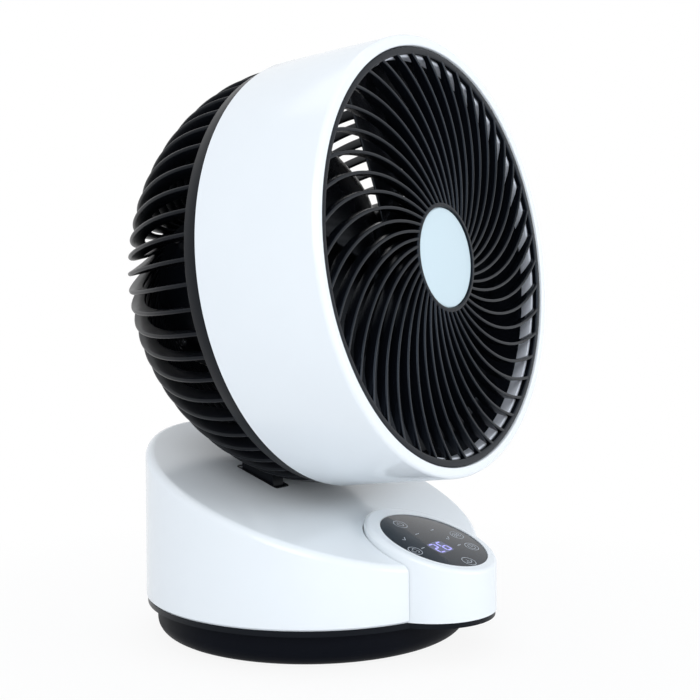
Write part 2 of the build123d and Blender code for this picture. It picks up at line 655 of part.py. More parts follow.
def hinge_stand():
    """Bracket on the floor whose two cheeks hold the hinge pin under the deck."""
    y0, y1 = PIVOT_BACK, PIVOT_BACK + STAND_DEPTH
    foot_z = stand_low
    stand = block(-STAND_HALF_WIDTH, STAND_HALF_WIDTH, y0, y1, foot_z, foot_z + STAND_FLANGE)
    cheek = [(y0, foot_z), (y1 - 3, foot_z), (y1 - 3, foot_z + 12), (y0 + STAND_EYE - 0.4, pivot_z + 1),
             (y0 - STAND_EYE + 0.4, pivot_z + 1)]
    for side in (-1, 1):
        x0, x1 = sorted((side * stand_half, side * (stand_half - CHEEK_WIDTH)))
        stand += side_profile(cheek, x0, x1)
        stand += cross_pin(STAND_EYE, CHEEK_WIDTH, (x0 + x1) / 2)
    web_x = stand_half - 1
    stand += block(-web_x, web_x, y0 + 8, y0 + 12, foot_z, (foot_z + pivot_z) / 2 + 6)
    stand -= cross_pin(PIN_RADIUS + 0.02, 3 * STAND_HALF_WIDTH)
    for x, y in stand_screw_places():
        stand -= drum(SCREW_RADIUS + SCREW_PLAY, foot_z - 1, foot_z + STAND_FLANGE + 1, x, y)
    return stand


def stand_screws():
    """Screws that hold the hinge stand on the floor."""
    return group([Pos(x, y, stand_low + STAND_FLANGE) * screw(10) for x, y in stand_screw_places()])


def pin_half_length():
    """From the middle of the hinge pin to its end."""
    return ARM_INNER + ARM_WIDTH + SWING_GAP + CLIP_THICKNESS + 1.5


def hinge_pin():
    """Steel pin that the head nods on, with a groove at each end."""
    half = pin_half_length()
    pin = cross_pin(PIN_RADIUS, 2 * half)
    for side in (-1, 1):
        groove = cross_pin(PIN_RADIUS + 1, CLIP_THICKNESS + 0.1, side * (half - 1.5 - CLIP_THICKNESS / 2))
        pin -= groove - cross_pin(PIN_RADIUS - 0.8, 4 * half)
    return pin


def pin_clips():
    """Spring clips in the grooves of the hinge pin."""
    x = pin_half_length() - 1.5 - CLIP_THICKNESS / 2
    clips = []
    for side in (-1, 1):
        clip = cross_pin(CLIP_RADIUS, CLIP_THICKNESS, side * x) - cross_pin(PIN_RADIUS - 0.75, 200)
        clip -= block(-100, 100, PIVOT_BACK - 1.6, PIVOT_BACK + 1.6, pivot_z - 2 * CLIP_RADIUS, pivot_z)
        clips.append(clip)
    return group(clips)


def friction_washers():
    """Washers between the stand and the arms, which hold the head at the angle that it is set to."""
    x = stand_half + WASHER_THICKNESS / 2
    return group([cross_pin(WASHER_RADIUS, WASHER_THICKNESS, side * x) - cross_pin(PIN_RADIUS + 0.1, 200)
                  for side in (-1, 1)])


def arm_outline(grow=0.0):
    """Side view of a hinge arm, as (y, z) points from below the deck up into the head."""
    lean = tan(radians(HEAD_TILT))
    deck_front = DECK_HEIGHT + slope * ARM_FRONT
    deck_back = DECK_HEIGHT + slope * ARM_BACK
    low, high = pivot_z - 5, pivot_z + 34
    front, back = ARM_FRONT - grow, ARM_BACK + grow
    return [(front + lean * (low - deck_front), low), (front + lean * (high - deck_front), high),
            (back + lean * (high - deck_back), high), (PIVOT_BACK + grow, pivot_z + ARM_EYE),
            (PIVOT_BACK + grow, pivot_z - ARM_EYE)]


def arm_block(side, grow=0.0):
    """One hinge arm as a plain plate, or the window for it with some room all round."""
    x0, x1 = sorted((side * (ARM_INNER - grow), side * (ARM_INNER + ARM_WIDTH + grow)))
    return side_profile(arm_outline(grow), x0, x1)


def tilt_bracket():
    """Black bracket: a saddle inside the rear grille and two arms that reach down to the hinge pin."""
    gap = RIB_DEPTH + SEAT_GAP
    saddle = dome_solid(gap, 0, -REACH) - dome_solid(gap + SADDLE_THICKNESS, 1, -REACH - 1)
    half = MOUNT_PAD_HALF - 1
    front = DOME_START - 1
    back = BAND_BACK - MOUNT_PAD_LENGTH + 1
    saddle &= block(-half, half, -2 * DRUM_RADIUS, -DRUM_RADIUS / 2, back, front)
    hollow = HEAD * dome_solid(gap + SADDLE_THICKNESS / 2, 40, -REACH)
    bracket = HEAD * saddle
    for side in (-1, 1):
        bracket += arm_block(side) - hollow
    for side in (-1, 1):
        bracket += cross_pin(ARM_EYE, ARM_WIDTH, side * (ARM_INNER + ARM_WIDTH / 2))
    bracket -= cross_pin(PIN_RADIUS + RUNNING_GAP, 200)
    for place in saddle_screw_places():
        bracket -= HEAD * place * drum(SCREW_RADIUS + SCREW_PLAY, -20, 5)
        bracket -= HEAD * place * drum(SCREW_HEAD + SCREW_PLAY, 0, 5)
    return bracket


def saddle_screw_places():
    """Seats of the saddle's screws, on its inner face and square to it."""
    seats = []
    for angle in (-8.0, 8.0):
        for sweep in (6.0, 30.0):
            r, d, lean = dome_seat(RIB_DEPTH + SEAT_GAP + SADDLE_THICKNESS - SPOT_FACE, sweep)
            seats.append(Rot(0, 0, angle - 90) * Pos(r, 0, d) * Rot(0, -90 + lean, 0))
    return seats


def saddle_screws():
    """Screws from inside the head through the saddle into the rear grille."""
    return group([HEAD * place * screw(SADDLE_THICKNESS - SPOT_FACE + SEAT_GAP + RIB_DEPTH - 1.2)
                  for place in saddle_screw_places()])


# ---- Rear grille ----
def back_center():
    """Centre of the dome's back arc, as (radius, height): it meets the shoulder arc smoothly."""
    sweep = radians(SHOULDER_SWEEP)
    step = BACK_RADIUS - SHOULDER_RADIUS
    return dome_radius - SHOULDER_RADIUS - step * cos(sweep), DOME_START + step * sin(sweep)


def dome_seat(offset, sweep):
    """A point inside the dome surface by offset: its radius, height and how far the surface leans."""
    angle = radians(sweep)
    if sweep <= SHOULDER_SWEEP:
        r = dome_radius - SHOULDER_RADIUS + (SHOULDER_RADIUS - offset) * cos(angle)
        return r, DOME_START - (SHOULDER_RADIUS - offset) * sin(angle), sweep
    cr, cd = back_center()
    return cr + (BACK_RADIUS - offset) * cos(angle), cd - (BACK_RADIUS - offset) * sin(angle), sweep


def dome_solid(offset, front, back):
    """What lies under the dome surface moved in by offset, between two planes across the head axis."""
    cr, cd = back_center()
    r0 = dome_radius - offset
    a = dome_seat(offset, 0)
    b = dome_seat(offset, SHOULDER_SWEEP)
    mid_a = dome_seat(offset, SHOULDER_SWEEP / 2)
    radius = BACK_RADIUS - offset
    steepest = acos(max((0.5 - cr) / radius, cos(radians(88))))
    end_sweep = min(asin(min((cd - back) / radius, 1)), steepest)
    c = dome_seat(offset, degrees(end_sweep))
    mid_b = dome_seat(offset, (SHOULDER_SWEEP + degrees(end_sweep)) / 2)
    section = make_face([
        Line((0, 0, front), (r0, 0, front)), Line((r0, 0, front), (a[0], 0, a[1])),
        ThreePointArc((a[0], 0, a[1]), (mid_a[0], 0, mid_a[1]), (b[0], 0, b[1])),
        ThreePointArc((b[0], 0, b[1]), (mid_b[0], 0, mid_b[1]), (c[0], 0, c[1])),
        Line((c[0], 0, c[1]), (0, 0, c[1])), Line((0, 0, c[1]), (0, 0, front))])
    return revolve(section, Axis.Z)


def hub_face():
    """Height of the flat rear face, where the dome comes in to the hub radius."""
    cr, cd = back_center()
    return cd - sqrt(BACK_RADIUS ** 2 - (REAR_HUB - cr) ** 2)


def pod_seat():
    """Height of the motor pod's flange on the hub of the rear grille."""
    return hub_face() + RIB_DEPTH + 2.5 + SEAT_GAP


REACH = 1.2 * DRUM_RADIUS


def duct_screw_places():
    """Screws that clamp the rear grille, the drum and the duct together."""
    return around(DUCT_SCREWS, duct_radius + DUCT_WALL + 3.0, 90)


def rear_grille():
    """Black domed cage: a band, curved ribs and a hub ring, in one moulding."""
    face = hub_face()
    front = DRUM_BACK - 0.3
    dome = dome_solid(0, BAND_BACK, face) - dome_solid(RIB_DEPTH, BAND_BACK + 1, face + RIB_DEPTH)
    step = 360 / RIBS
    first = RIB_PHASE - degrees(atan2(rib_arc, dome_radius))
    slot = curved_slot(hypot(dome_radius, rib_arc), rib_arc, RIB_WIDTH, first, step,
                       REAR_HUB + 3, dome_radius + 6, 1)
    slot = Pos(0, 0, -REACH) * extrude(slot, REACH + BAND_BACK)
    pad = block(-MOUNT_PAD_HALF, MOUNT_PAD_HALF, -2 * DRUM_RADIUS, 0,
                BAND_BACK - MOUNT_PAD_LENGTH, BAND_BACK + 1)
    slots = [Rot(0, 0, step * k) * slot for k in range(RIBS)]
    cage = dome - [opening - pad for opening in slots]
    cage += tube(REAR_HUB + 3, REAR_HOLE, face + 2, pod_seat() - SEAT_GAP)
    cage += turned((DRUM_RADIUS - 0.3, front), (dome_radius, BAND_BACK - 0.01),
                   (dome_radius - RIB_DEPTH, BAND_BACK - 0.01), (dome_radius - RIB_DEPTH, front - 0.5),
                   (duct_radius + DUCT_WALL, front - 0.5), (duct_radius + DUCT_WALL, front + 3.2),
                   (drum_inner(front) - 2.3, front + 3.2), (drum_inner(front) - 2.3, front + 7),
                   (drum_inner(front) - 0.4, front + 7), (drum_inner(front) - 0.4, front))
    for x, y in duct_screw_places():
        cage -= drum(SCREW_RADIUS + SCREW_PLAY, front - 2, front + 5, x, y)
    cage -= drum(REAR_HOLE, face - 5, face + 20)
    for x, y in around(4, REAR_HOLE + 4.4, 45):
        cage -= drum(SCREW_RADIUS + THREAD_PLAY, face + 2, face + 20, x, y)
    for place in saddle_screw_places():
        depth = SADDLE_THICKNESS - SPOT_FACE + SEAT_GAP + RIB_DEPTH - 1
        cage -= place * drum(SCREW_RADIUS + THREAD_PLAY, -depth, 0)
    cage = HEAD * cage
    for side in (-1, 1):
        cage -= arm_block(side, 0.4)
    return cage


def grille_screws():
    """Screws from behind through the rear grille into the duct."""
    seat = DRUM_BACK - 0.3 - 0.5
    return group([HEAD * Pos(x, y, seat) * Rot(180, 0, 0) * screw(14, head=2.6)
                  for x, y in duct_screw_places()])


def rear_cap():
    """Round cap that closes the back of the motor pod."""
    face = hub_face()
    cap = turned((0, face - 1.0), (REAR_HOLE - 12, face - 1.0), (REAR_HOLE - 1.5, face), (REAR_HOLE - 0.3, face + 1),
                 (REAR_HOLE - 0.3, face + 4), (POD_RADIUS - POD_WALL - 0.3, face + 4),
                 (POD_RADIUS - POD_WALL - 0.3, face + 12), (POD_RADIUS - POD_WALL - 2.3, face + 12),
                 (POD_RADIUS - POD_WALL - 2.3, face + 2.2), (0, face + 2.2))
    return HEAD * cap


# ---- Drum, duct and front grille ----
def drum_inner(height):
    """Inner radius of the tapered drum wall at a height along the head axis."""
    return DRUM_RADIUS - DRUM_WALL - DRUM_TAPER * (height - DRUM_BACK) / (DRUM_FRONT - LIP_EDGE - DRUM_BACK)


def drum_shell():
    """White outer barrel with the rounded lip round the front grille."""
    r_front = DRUM_RADIUS - DRUM_TAPER
    start = DRUM_FRONT - LIP_EDGE
    center = r_front - LIP_EDGE
    lip = ThreePointArc((r_front, 0, start),
                        (center + LIP_EDGE * cos(pi / 4), 0, start + LIP_EDGE * sin(pi / 4)),
                        (center, 0, DRUM_FRONT))
    collar_in, collar_out = grille_radius + 0.4, grille_radius + 0.4 + DRUM_WALL
    top_in = DRUM_FRONT - DRUM_WALL - 0.4
    points = [(center, DRUM_FRONT), (collar_in, DRUM_FRONT - 0.5), (collar_in, collar_low()),
              (collar_out, collar_low()), (collar_out, top_in), (drum_inner(start) - 0.6, top_in),
              (drum_inner(start), start - 1), (DRUM_RADIUS - DRUM_WALL, DRUM_BACK), (DRUM_RADIUS, DRUM_BACK),
              (r_front, start)]
    edges = [Line((p[0], 0, p[1]), (q[0], 0, q[1])) for p, q in zip(points, points[1:])]
    return HEAD * revolve(make_face(edges + [lip]), Axis.Z)


def collar_low():
    """Rear edge of the drum's inner collar, which stands on the duct."""
    return GRILLE_FACE - RING_DEPTH - 5.3


def air_duct():
    """White bore round the blades, with flanges that carry the front grille, the drum and the rear grille."""
    inner, outer = duct_radius, duct_radius + DUCT_WALL
    low = DRUM_BACK - 0.3 + 3.2 + SEAT_GAP
    high = GRILLE_FACE - RING_DEPTH - 0.3
    shelf = collar_low() - SEAT_GAP
    duct = turned((inner, low), (drum_inner(low) - 3.0, low), (drum_inner(low) - 3.0, low + 2.6),
                  (outer, low + 2.6), (outer, shelf - 2.4), (drum_inner(shelf) - 1.0, shelf - 2.4),
                  (drum_inner(shelf) - 1.0, shelf), (outer, shelf), (outer, high - 2.4),
                  (grille_radius + 0.1, high - 2.4), (grille_radius + 0.1, high), (inner, high))
    for x, y in duct_screw_places():
        duct += drum(3.9, low, low + 18, x, y)
    duct -= drum(inner, low - 1, high + 1)
    for x, y in duct_screw_places():
        duct -= drum(SCREW_RADIUS + THREAD_PLAY, low - 1, low + 14, x, y)
    for k in range(4):
        duct -= Rot(0, 0, 45 + 90 * k) * tab_block(1.0)
    return HEAD * duct


def tab_block(room=0.0):
    """One hook of the front grille, or the notch in the duct that it drops into."""
    high = GRILLE_FACE - RING_DEPTH
    return block(duct_radius + DUCT_WALL + 0.7 - room, grille_radius - 0.6 + 2 * room, -5 - room / 2,
                 5 + room / 2, high - 4.6 - room, high + 1)


def front_grille():
    """Black guard: a ring, deep curved spokes and a hub ring, in one moulding."""
    ring_in = grille_radius - GRILLE_RING
    back = GRILLE_FACE - SPOKE_DEPTH
    hub = CAP_RADIUS + 0.3 + CAP_RIM
    web = turned((0, back), (ring_in - SPOKE_TAPER, back), (duct_radius - 0.4, GRILLE_FACE - RING_DEPTH),
                 (ring_in + 0.5, GRILLE_FACE - RING_DEPTH), (ring_in + 0.5, GRILLE_FACE), (0, GRILLE_FACE))
    step = 360 / SPOKES
    slot = curved_slot(SPOKE_ARC_CENTER, SPOKE_ARC, SPOKE_WIDTH, SPOKE_PHASE, step, hub, ring_in, -1)
    slot = Pos(0, 0, back - 5) * extrude(slot, SPOKE_DEPTH + 10)
    grille = web - [Rot(0, 0, step * k) * slot for k in range(SPOKES)]
    ring = tube(grille_radius, ring_in, GRILLE_FACE - RING_DEPTH, GRILLE_FACE)
    ring = fillet(ring.edges().group_by(Axis.Z)[-1], 0.8)
    grille += ring
    for k in range(4):
        grille += Rot(0, 0, 45 + 90 * k) * tab_block()
    grille -= drum(CAP_RADIUS + 0.2, GRILLE_FACE - 1.2 - CAP_THICKNESS, GRILLE_FACE + 1)
    grille -= tube(NUT_RADIUS + 9, NUT_RADIUS + 6, back + 1.6, GRILLE_FACE)
    return HEAD * grille


def hub_cap():
    """White round cap in the middle of the front guard, left bare."""
    low = GRILLE_FACE - 1.2 - CAP_THICKNESS + SEAT_GAP
    top = GRILLE_FACE - 0.9
    cap = drum(CAP_RADIUS, low, top)
    cap = fillet(cap.edges().group_by(Axis.Z)[-1], 0.9)
    cap += tube(NUT_RADIUS + 8.6, NUT_RADIUS + 6.4, GRILLE_FACE - SPOKE_DEPTH + 1.9, low + 0.5)
    return HEAD * cap


# ---- Fan ----
def blade():
    """One blade: thin curved sections at four radii, joined smoothly and trimmed to the fan's circle."""
    sections = []
    for share, chord, pitch, camber, lead, middle in BLADE_SECTIONS:
        radius = share * impeller_radius
        along = (cos(radians(pitch)), sin(radians(pitch)))
        across = (-along[1], along[0])
        half, edge, thick = chord / 2, 0.6, 1.3

        def spot(run, rise):
            return (lead + run * along[0] + rise * across[0], middle + run * along[1] + rise * across[1])

        plane = Plane(origin=(radius, 0, 0), x_dir=(0, 1, 0), z_dir=(1, 0, 0))
        top = ThreePointArc(spot(-half, edge), spot(0, camber + thick), spot(half, edge))
        bottom = ThreePointArc(spot(half, -edge), spot(0, camber - thick), spot(-half, -edge))
        ends = [Line(spot(half, edge), spot(half, -edge)), Line(spot(-half, -edge), spot(-half, edge))]
        sections.append(plane * make_face([top, ends[0], bottom, ends[1]]))
    return loft(sections) & tube(impeller_radius, NOSE_RADIUS - NOSE_WALL / 2, -REACH, REACH)


def impeller():
    """Fan wheel: a hub cup with a rounded nose, a bored boss and the blades."""
    hub = drum(NOSE_RADIUS, NOSE_BACK, NOSE_FRONT)
    hub = fillet(hub.edges().group_by(Axis.Z)[-1], NOSE_EDGE)
    hollow = drum(NOSE_RADIUS - NOSE_WALL, NOSE_BACK - 1, NOSE_FRONT - NOSE_WALL)
    hollow = fillet(hollow.edges().group_by(Axis.Z)[-1], NOSE_EDGE - NOSE_WALL)
    hub -= hollow
    one = blade()
    for k in range(BLADES):
        hub += Rot(0, 0, BLADE_PHASE + 360 * k / BLADES) * one
    hub += drum(9, NOSE_BACK + 7, NOSE_FRONT - 1)
    hub -= drum(SHAFT_RADIUS + 0.02, -REACH, REACH)
    hub -= Pos(0, 0, NOSE_BACK + 7) * Box(30, 2 * (SCREW_RADIUS + 0.1), 6)
    return HEAD * hub


def drive_pin():
    """Cross pin in the shaft that turns the fan wheel."""
    return HEAD * Pos(0, 0, NOSE_BACK + 7 + 3 - SCREW_RADIUS - 0.1) * Rot(0, 90, 0) * Cylinder(SCREW_RADIUS, 17)


def spinner_nut():
    """Knurled nut that holds the fan wheel on its shaft."""
    nut = drum(NUT_RADIUS, NOSE_FRONT, NOSE_FRONT + NUT_HEIGHT)
    nut = fillet(nut.edges().group_by(Axis.Z)[-1], 2)
    for x, y in around(12, NUT_RADIUS + 0.4, 0):
        nut -= drum(1, NOSE_FRONT - 1, NOSE_FRONT + NUT_HEIGHT + 1, x, y)
    return HEAD * (nut - drum(SHAFT_RADIUS + 0.02, NOSE_FRONT - 1, SHAFT_FRONT - 1))


def motor_shaft():
    """Steel shaft of the fan motor, with a hole for the drive pin."""
    shaft = drum(SHAFT_RADIUS, SHAFT_BACK, NOSE_FRONT + NUT_HEIGHT - 2.2)
    hole = Pos(0, 0, NOSE_BACK + 7 + 3 - SCREW_RADIUS - 0.1) * Rot(0, 90, 0) * Cylinder(SCREW_RADIUS + 0.02, 30)
    return HEAD * (shaft - hole)


# ---- Motor ----
def motor_pod():
    """Black cup on the rear hub that carries the motor in the middle of the air stream."""
    seat = pod_seat()
    flange = REAR_HUB + 2
    pod = tube(flange, POD_RADIUS - POD_WALL, seat, seat + 3)
    pod += tube(POD_RADIUS, POD_RADIUS - POD_WALL, seat, POD_FRONT)
    pod += drum(POD_RADIUS, POD_FRONT - POD_FACE, POD_FRONT)
    pod -= drum(BEARING_RADIUS + 3, POD_FRONT - 2 * POD_FACE, POD_FRONT + 1)
    for x, y in around(4, MOTOR_RADIUS - 8, 45):
        pod -= drum(2.0 + SCREW_PLAY, POD_FRONT - 2 * POD_FACE, POD_FRONT + 1, x, y)
    for x, y in around(4, REAR_HOLE + 4.4, 45):
        pod -= drum(SCREW_RADIUS + SCREW_PLAY, seat - 1, seat + 4, x, y)
    vent = block(POD_RADIUS - 2 * POD_WALL, POD_RADIUS + 2, -2, 2, CORE_BACK - 14, CORE_FRONT + 10)
    pod -= [Rot(0, 0, 22.5 + 45 * k) * vent for k in range(8)]
    return HEAD * pod


def pod_screws():
    """Screws that hold the pod on the rear hub."""
    seat = pod_seat() + 3
    return group([HEAD * Pos(x, y, seat) * screw(8.6) for x, y in around(4, REAR_HOLE + 4.4, 45)])


def motor_mount_screws():
    """Screws from the front of the pod into the motor."""
    return group([HEAD * Pos(x, y, POD_FRONT) * screw(11, 2.0, 3.5, 2.2)
                  for x, y in around(4, MOTOR_RADIUS - 8, 45)])


def motor_bell(front):
    """One end shell of the motor, with its bearing seat; the front one has the threads of the mount."""
    rim = CORE_FRONT if front else CORE_BACK
    way = 1 if front else -1
    face = rim + way * BELL_DEPTH

    def part(outer, inner, start, end):
        return tube(outer, inner, min(start, end), max(start, end))

    bell = part(MOTOR_RADIUS, MOTOR_RADIUS - BELL_WALL, rim, face + way * BELL_FACE)
    bell += part(MOTOR_RADIUS - 1, BEARING_RADIUS + 0.02, face, face + way * BELL_FACE)
    bell += part(BEARING_RADIUS + 3.5, BEARING_RADIUS + 0.02, face - way * 4, face + way)
    bell += part(BEARING_RADIUS + 1, SHAFT_RADIUS + 0.6, face + way * (BELL_FACE - 1), face + way * BELL_FACE)
    if front:
        for x, y in around(4, MOTOR_RADIUS - 8, 45):
            bell += drum(4, face - 6, face + 1, x, y)
            bell -= drum(2.0 + THREAD_PLAY, face - 7, face + BELL_FACE + 1, x, y)
    play = THREAD_PLAY if front else SCREW_PLAY
    for x, y in around(4, MOTOR_RADIUS - BELL_WALL / 2, 0):
        bell -= drum(SCREW_RADIUS + play, min(rim, face) - 30, max(rim, face) + (1 if front else 30), x, y)
    return HEAD * bell


def bell_bolts():
    """Long bolts that clamp the two motor bells on the core."""
    low = CORE_BACK - BELL_DEPTH - BELL_FACE
    return group([HEAD * Pos(x, y, low) * Rot(180, 0, 0) * screw(CORE_FRONT + 12 - low, height=1.8, head=2.6)
                  for x, y in around(4, MOTOR_RADIUS - BELL_WALL / 2, 0)])


def stator_core():
    """Steel core of the motor with its wound teeth."""
    yoke_in = MOTOR_RADIUS - 8
    core = tube(MOTOR_RADIUS, yoke_in, CORE_BACK, CORE_FRONT)
    bore = ROTOR_RADIUS + AIR_GAP
    for k in range(STATOR_TEETH):
        tooth = block(bore - 1, yoke_in + 1, -3.5, 3.5, CORE_BACK, CORE_FRONT)
        shoe = block(bore - 1, bore + 1.8, -6.5, 6.5, CORE_BACK, CORE_FRONT)
        core += Rot(0, 0, 22.5 + 360 * k / STATOR_TEETH) * (tooth + shoe)
    core -= drum(bore, CORE_BACK - 1, CORE_FRONT + 1)
    for x, y in around(4, MOTOR_RADIUS - BELL_WALL / 2, 0):
        core -= drum(SCREW_RADIUS + SCREW_PLAY, CORE_BACK - 1, CORE_FRONT + 1, x, y)
    return HEAD * core


def stator_coils():
    """Copper windings, one round each tooth."""
    bore = ROTOR_RADIUS + AIR_GAP + 2.1
    coils = []
    for k in range(STATOR_TEETH):
        coil = block(bore, MOTOR_RADIUS - 9.2, -6.2, 6.2, CORE_BACK - 4.5, CORE_FRONT + 4.5)
        coil = fillet(coil.edges().filter_by(Axis.X), 2.4)
        coil -= block(bore - 1, MOTOR_RADIUS, -3.7, 3.7, CORE_BACK - 0.2, CORE_FRONT + 0.2)
        coils.append(HEAD * Rot(0, 0, 22.5 + 360 * k / STATOR_TEETH) * coil)
    return group(coils)


def rotor_core():
    """Rotor of the motor on its shaft."""
    rotor = tube(ROTOR_RADIUS, SHAFT_RADIUS + 0.02, CORE_BACK, CORE_FRONT)
    rotor += tube(ROTOR_RADIUS - 2, SHAFT_RADIUS + 4, CORE_BACK - 3, CORE_FRONT + 3)
    return HEAD * rotor


def bearing(front):
    """Ball bearing of the motor shaft, with the shields set back between its rings."""
    face = CORE_FRONT + BELL_DEPTH if front else CORE_BACK - BELL_DEPTH
    low = face - BEARING_WIDTH + BELL_FACE - 1.2 if front else face - BELL_FACE + 1.2
    ring = tube(BEARING_RADIUS, SHAFT_RADIUS + RUNNING_GAP, low, low + BEARING_WIDTH)
    for z in (low - 1, low + BEARING_WIDTH - 0.4):
        ring -= tube(BEARING_RADIUS - 1.4, SHAFT_RADIUS + 1.5, z, z + 1.4)
    return HEAD * ring


NODES = {
    "foot_shell": foot_shell, "pad_ring": pad_ring, "foot_lid": foot_lid, "lid_screws": lid_screws,
    "ballast_plate": ballast_plate, "cord_bush": cord_bush, "pan_spindle": pan_spindle,
    "spindle_screws": spindle_screws, "glide_ring": glide_ring, "pan_gear": pan_gear,
    "spindle_nut": spindle_nut,
    "base_shell": base_shell, "base_floor": base_floor, "floor_screws": floor_screws,
    "console_housing": console_housing, "touch_panel": touch_panel, "control_board": control_board,
    "board_screws": board_screws, "display_module": display_module, "main_board": main_board,
    "main_board_screws": main_board_screws, "pan_motor": pan_motor, "pan_motor_screws": pan_motor_screws,
    "hinge_stand": hinge_stand, "stand_screws": stand_screws, "hinge_pin": hinge_pin,
    "pin_clips": pin_clips, "friction_washers": friction_washers,
    "pan_pinion": pan_pinion, "pinion_shaft": pinion_shaft,
    "tilt_bracket": tilt_bracket, "saddle_screws": saddle_screws, "rear_grille": rear_grille,
    "grille_screws": grille_screws, "rear_cap": rear_cap, "drum_shell": drum_shell, "air_duct": air_duct,
    "front_grille": front_grille, "hub_cap": hub_cap, "motor_pod": motor_pod, "pod_screws": pod_screws,
    "motor_mount_screws": motor_mount_screws, "front_bell": lambda: motor_bell(True),
    "rear_bell": lambda: motor_bell(False), "bell_bolts": bell_bolts, "stator_core": stator_core,
    "stator_coils": stator_coils, "front_bearing": lambda: bearing(True),
    "rear_bearing": lambda: bearing(False),
    "impeller": impeller, "drive_pin": drive_pin, "spinner_nut": spinner_nut,
    "motor_shaft": motor_shaft, "rotor_core": rotor_core,
}

os.makedirs("parts", exist_ok=True)
for name, make in NODES.items():
    export_step(make(), f"parts/{name}.step")
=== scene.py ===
# %% [markdown]
# # A desk air circulator, dressed round its engineering model
# The object is a small air circulator: a head that throws a narrow beam of air, on a round base that
# swings it left and right. The engineering model gives every solid part its size and place. This lesson
# loads that model, works out the surfaces that the eye rests on again as smooth meshes, and gives every
# part the finish of the real plastic or metal. The frame is in metres, and every piece lies in it.

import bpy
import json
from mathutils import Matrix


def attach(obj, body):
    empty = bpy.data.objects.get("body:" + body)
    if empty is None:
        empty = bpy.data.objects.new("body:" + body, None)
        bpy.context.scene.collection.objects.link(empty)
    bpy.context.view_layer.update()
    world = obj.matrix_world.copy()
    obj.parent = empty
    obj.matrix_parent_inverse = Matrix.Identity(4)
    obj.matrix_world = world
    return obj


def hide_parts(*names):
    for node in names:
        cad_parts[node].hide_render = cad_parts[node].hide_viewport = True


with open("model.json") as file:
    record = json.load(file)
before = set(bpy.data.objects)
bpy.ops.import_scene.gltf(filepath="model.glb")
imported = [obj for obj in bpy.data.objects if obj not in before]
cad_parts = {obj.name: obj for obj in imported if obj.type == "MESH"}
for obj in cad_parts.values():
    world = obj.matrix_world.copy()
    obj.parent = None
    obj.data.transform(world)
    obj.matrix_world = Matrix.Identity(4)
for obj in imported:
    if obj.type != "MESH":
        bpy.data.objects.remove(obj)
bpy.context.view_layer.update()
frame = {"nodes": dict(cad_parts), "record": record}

# %% [markdown]
# ## Tools that every piece uses
# A shape is worked out as whole arrays of points in millimetres, so the numbers can be read against a
# ruler, and it is turned to metres only when the mesh is made. Three ways make most shapes here: a
# profile turned about an axis, a section carried along a path, and a plain grid of points.

# %% Arrays, colours and nodes
import json
import bmesh
import bpy
import numpy as np
from mathutils import Matrix

MM = 0.001
DRUM_WHITE = "eff5f9"


def linear(text):
    """An sRGB hex colour as linear light: c / 12.92 up to 0.04045, else ((c + 0.055) / 1.055) to the 2.4."""
    c = np.array([int(text[i:i + 2], 16) for i in (0, 2, 4)]) / 255
    c = np.where(c <= 0.04045, c / 12.92, ((c + 0.055) / 1.055) ** 2.4)
    return (*[float(v) for v in c], 1.0)


def add(tree, kind, settings=None, inputs=None):
    """Adds one node. An input is a number, a colour, or another node's output, which is linked."""
    node = tree.nodes.new(kind)
    for key, value in (settings or {}).items():
        setattr(node, key, value)
    for key, value in (inputs or {}).items():
        if isinstance(value, bpy.types.NodeSocket):
            tree.links.new(value, node.inputs[key])
        else:
            node.inputs[key].default_value = value
    return node


print("white of the drum in linear light", [round(v, 3) for v in linear(DRUM_WHITE)[:3]])

# %% Grids, and parts put together
def patch(rows, cols, around=False, along=False):
    """Faces of a grid of rows x cols points: each joins a point, its next in the row, and the two above.

    around closes the last column to the first, and along closes the last row to the first.
    """
    r = np.arange(rows if along else rows - 1)[:, None]
    c = np.arange(cols if around else cols - 1)[None, :]
    r2, c2 = (r + 1) % rows, (c + 1) % cols
    quads = np.stack([r * cols + c, r * cols + c2, r2 * cols + c2, r2 * cols + c], -1)
    return quads.reshape(-1, 4)


def joined(*parts):
    """Several (points, faces) put into one, each set of face numbers moved past the points before it."""
    points, faces, count = [], [], 0
    for p, f in parts:
        points.append(p)
        faces.extend((np.asarray(q) + count).tolist() for q in f)
        count += len(p)
    return np.concatenate(points), faces


def copies(part, angles):
    """The same part turned about its own Z by each angle, in degrees."""
    points, faces = part
    made = []
    for angle in np.radians(angles):
        c, s = np.cos(angle), np.sin(angle)
        made.append((points @ np.array([[c, s, 0], [-s, c, 0], [0, 0, 1]]), faces))
    return joined(*made)


print("a grid of 3 x 4 points has", len(patch(3, 4)), "faces")

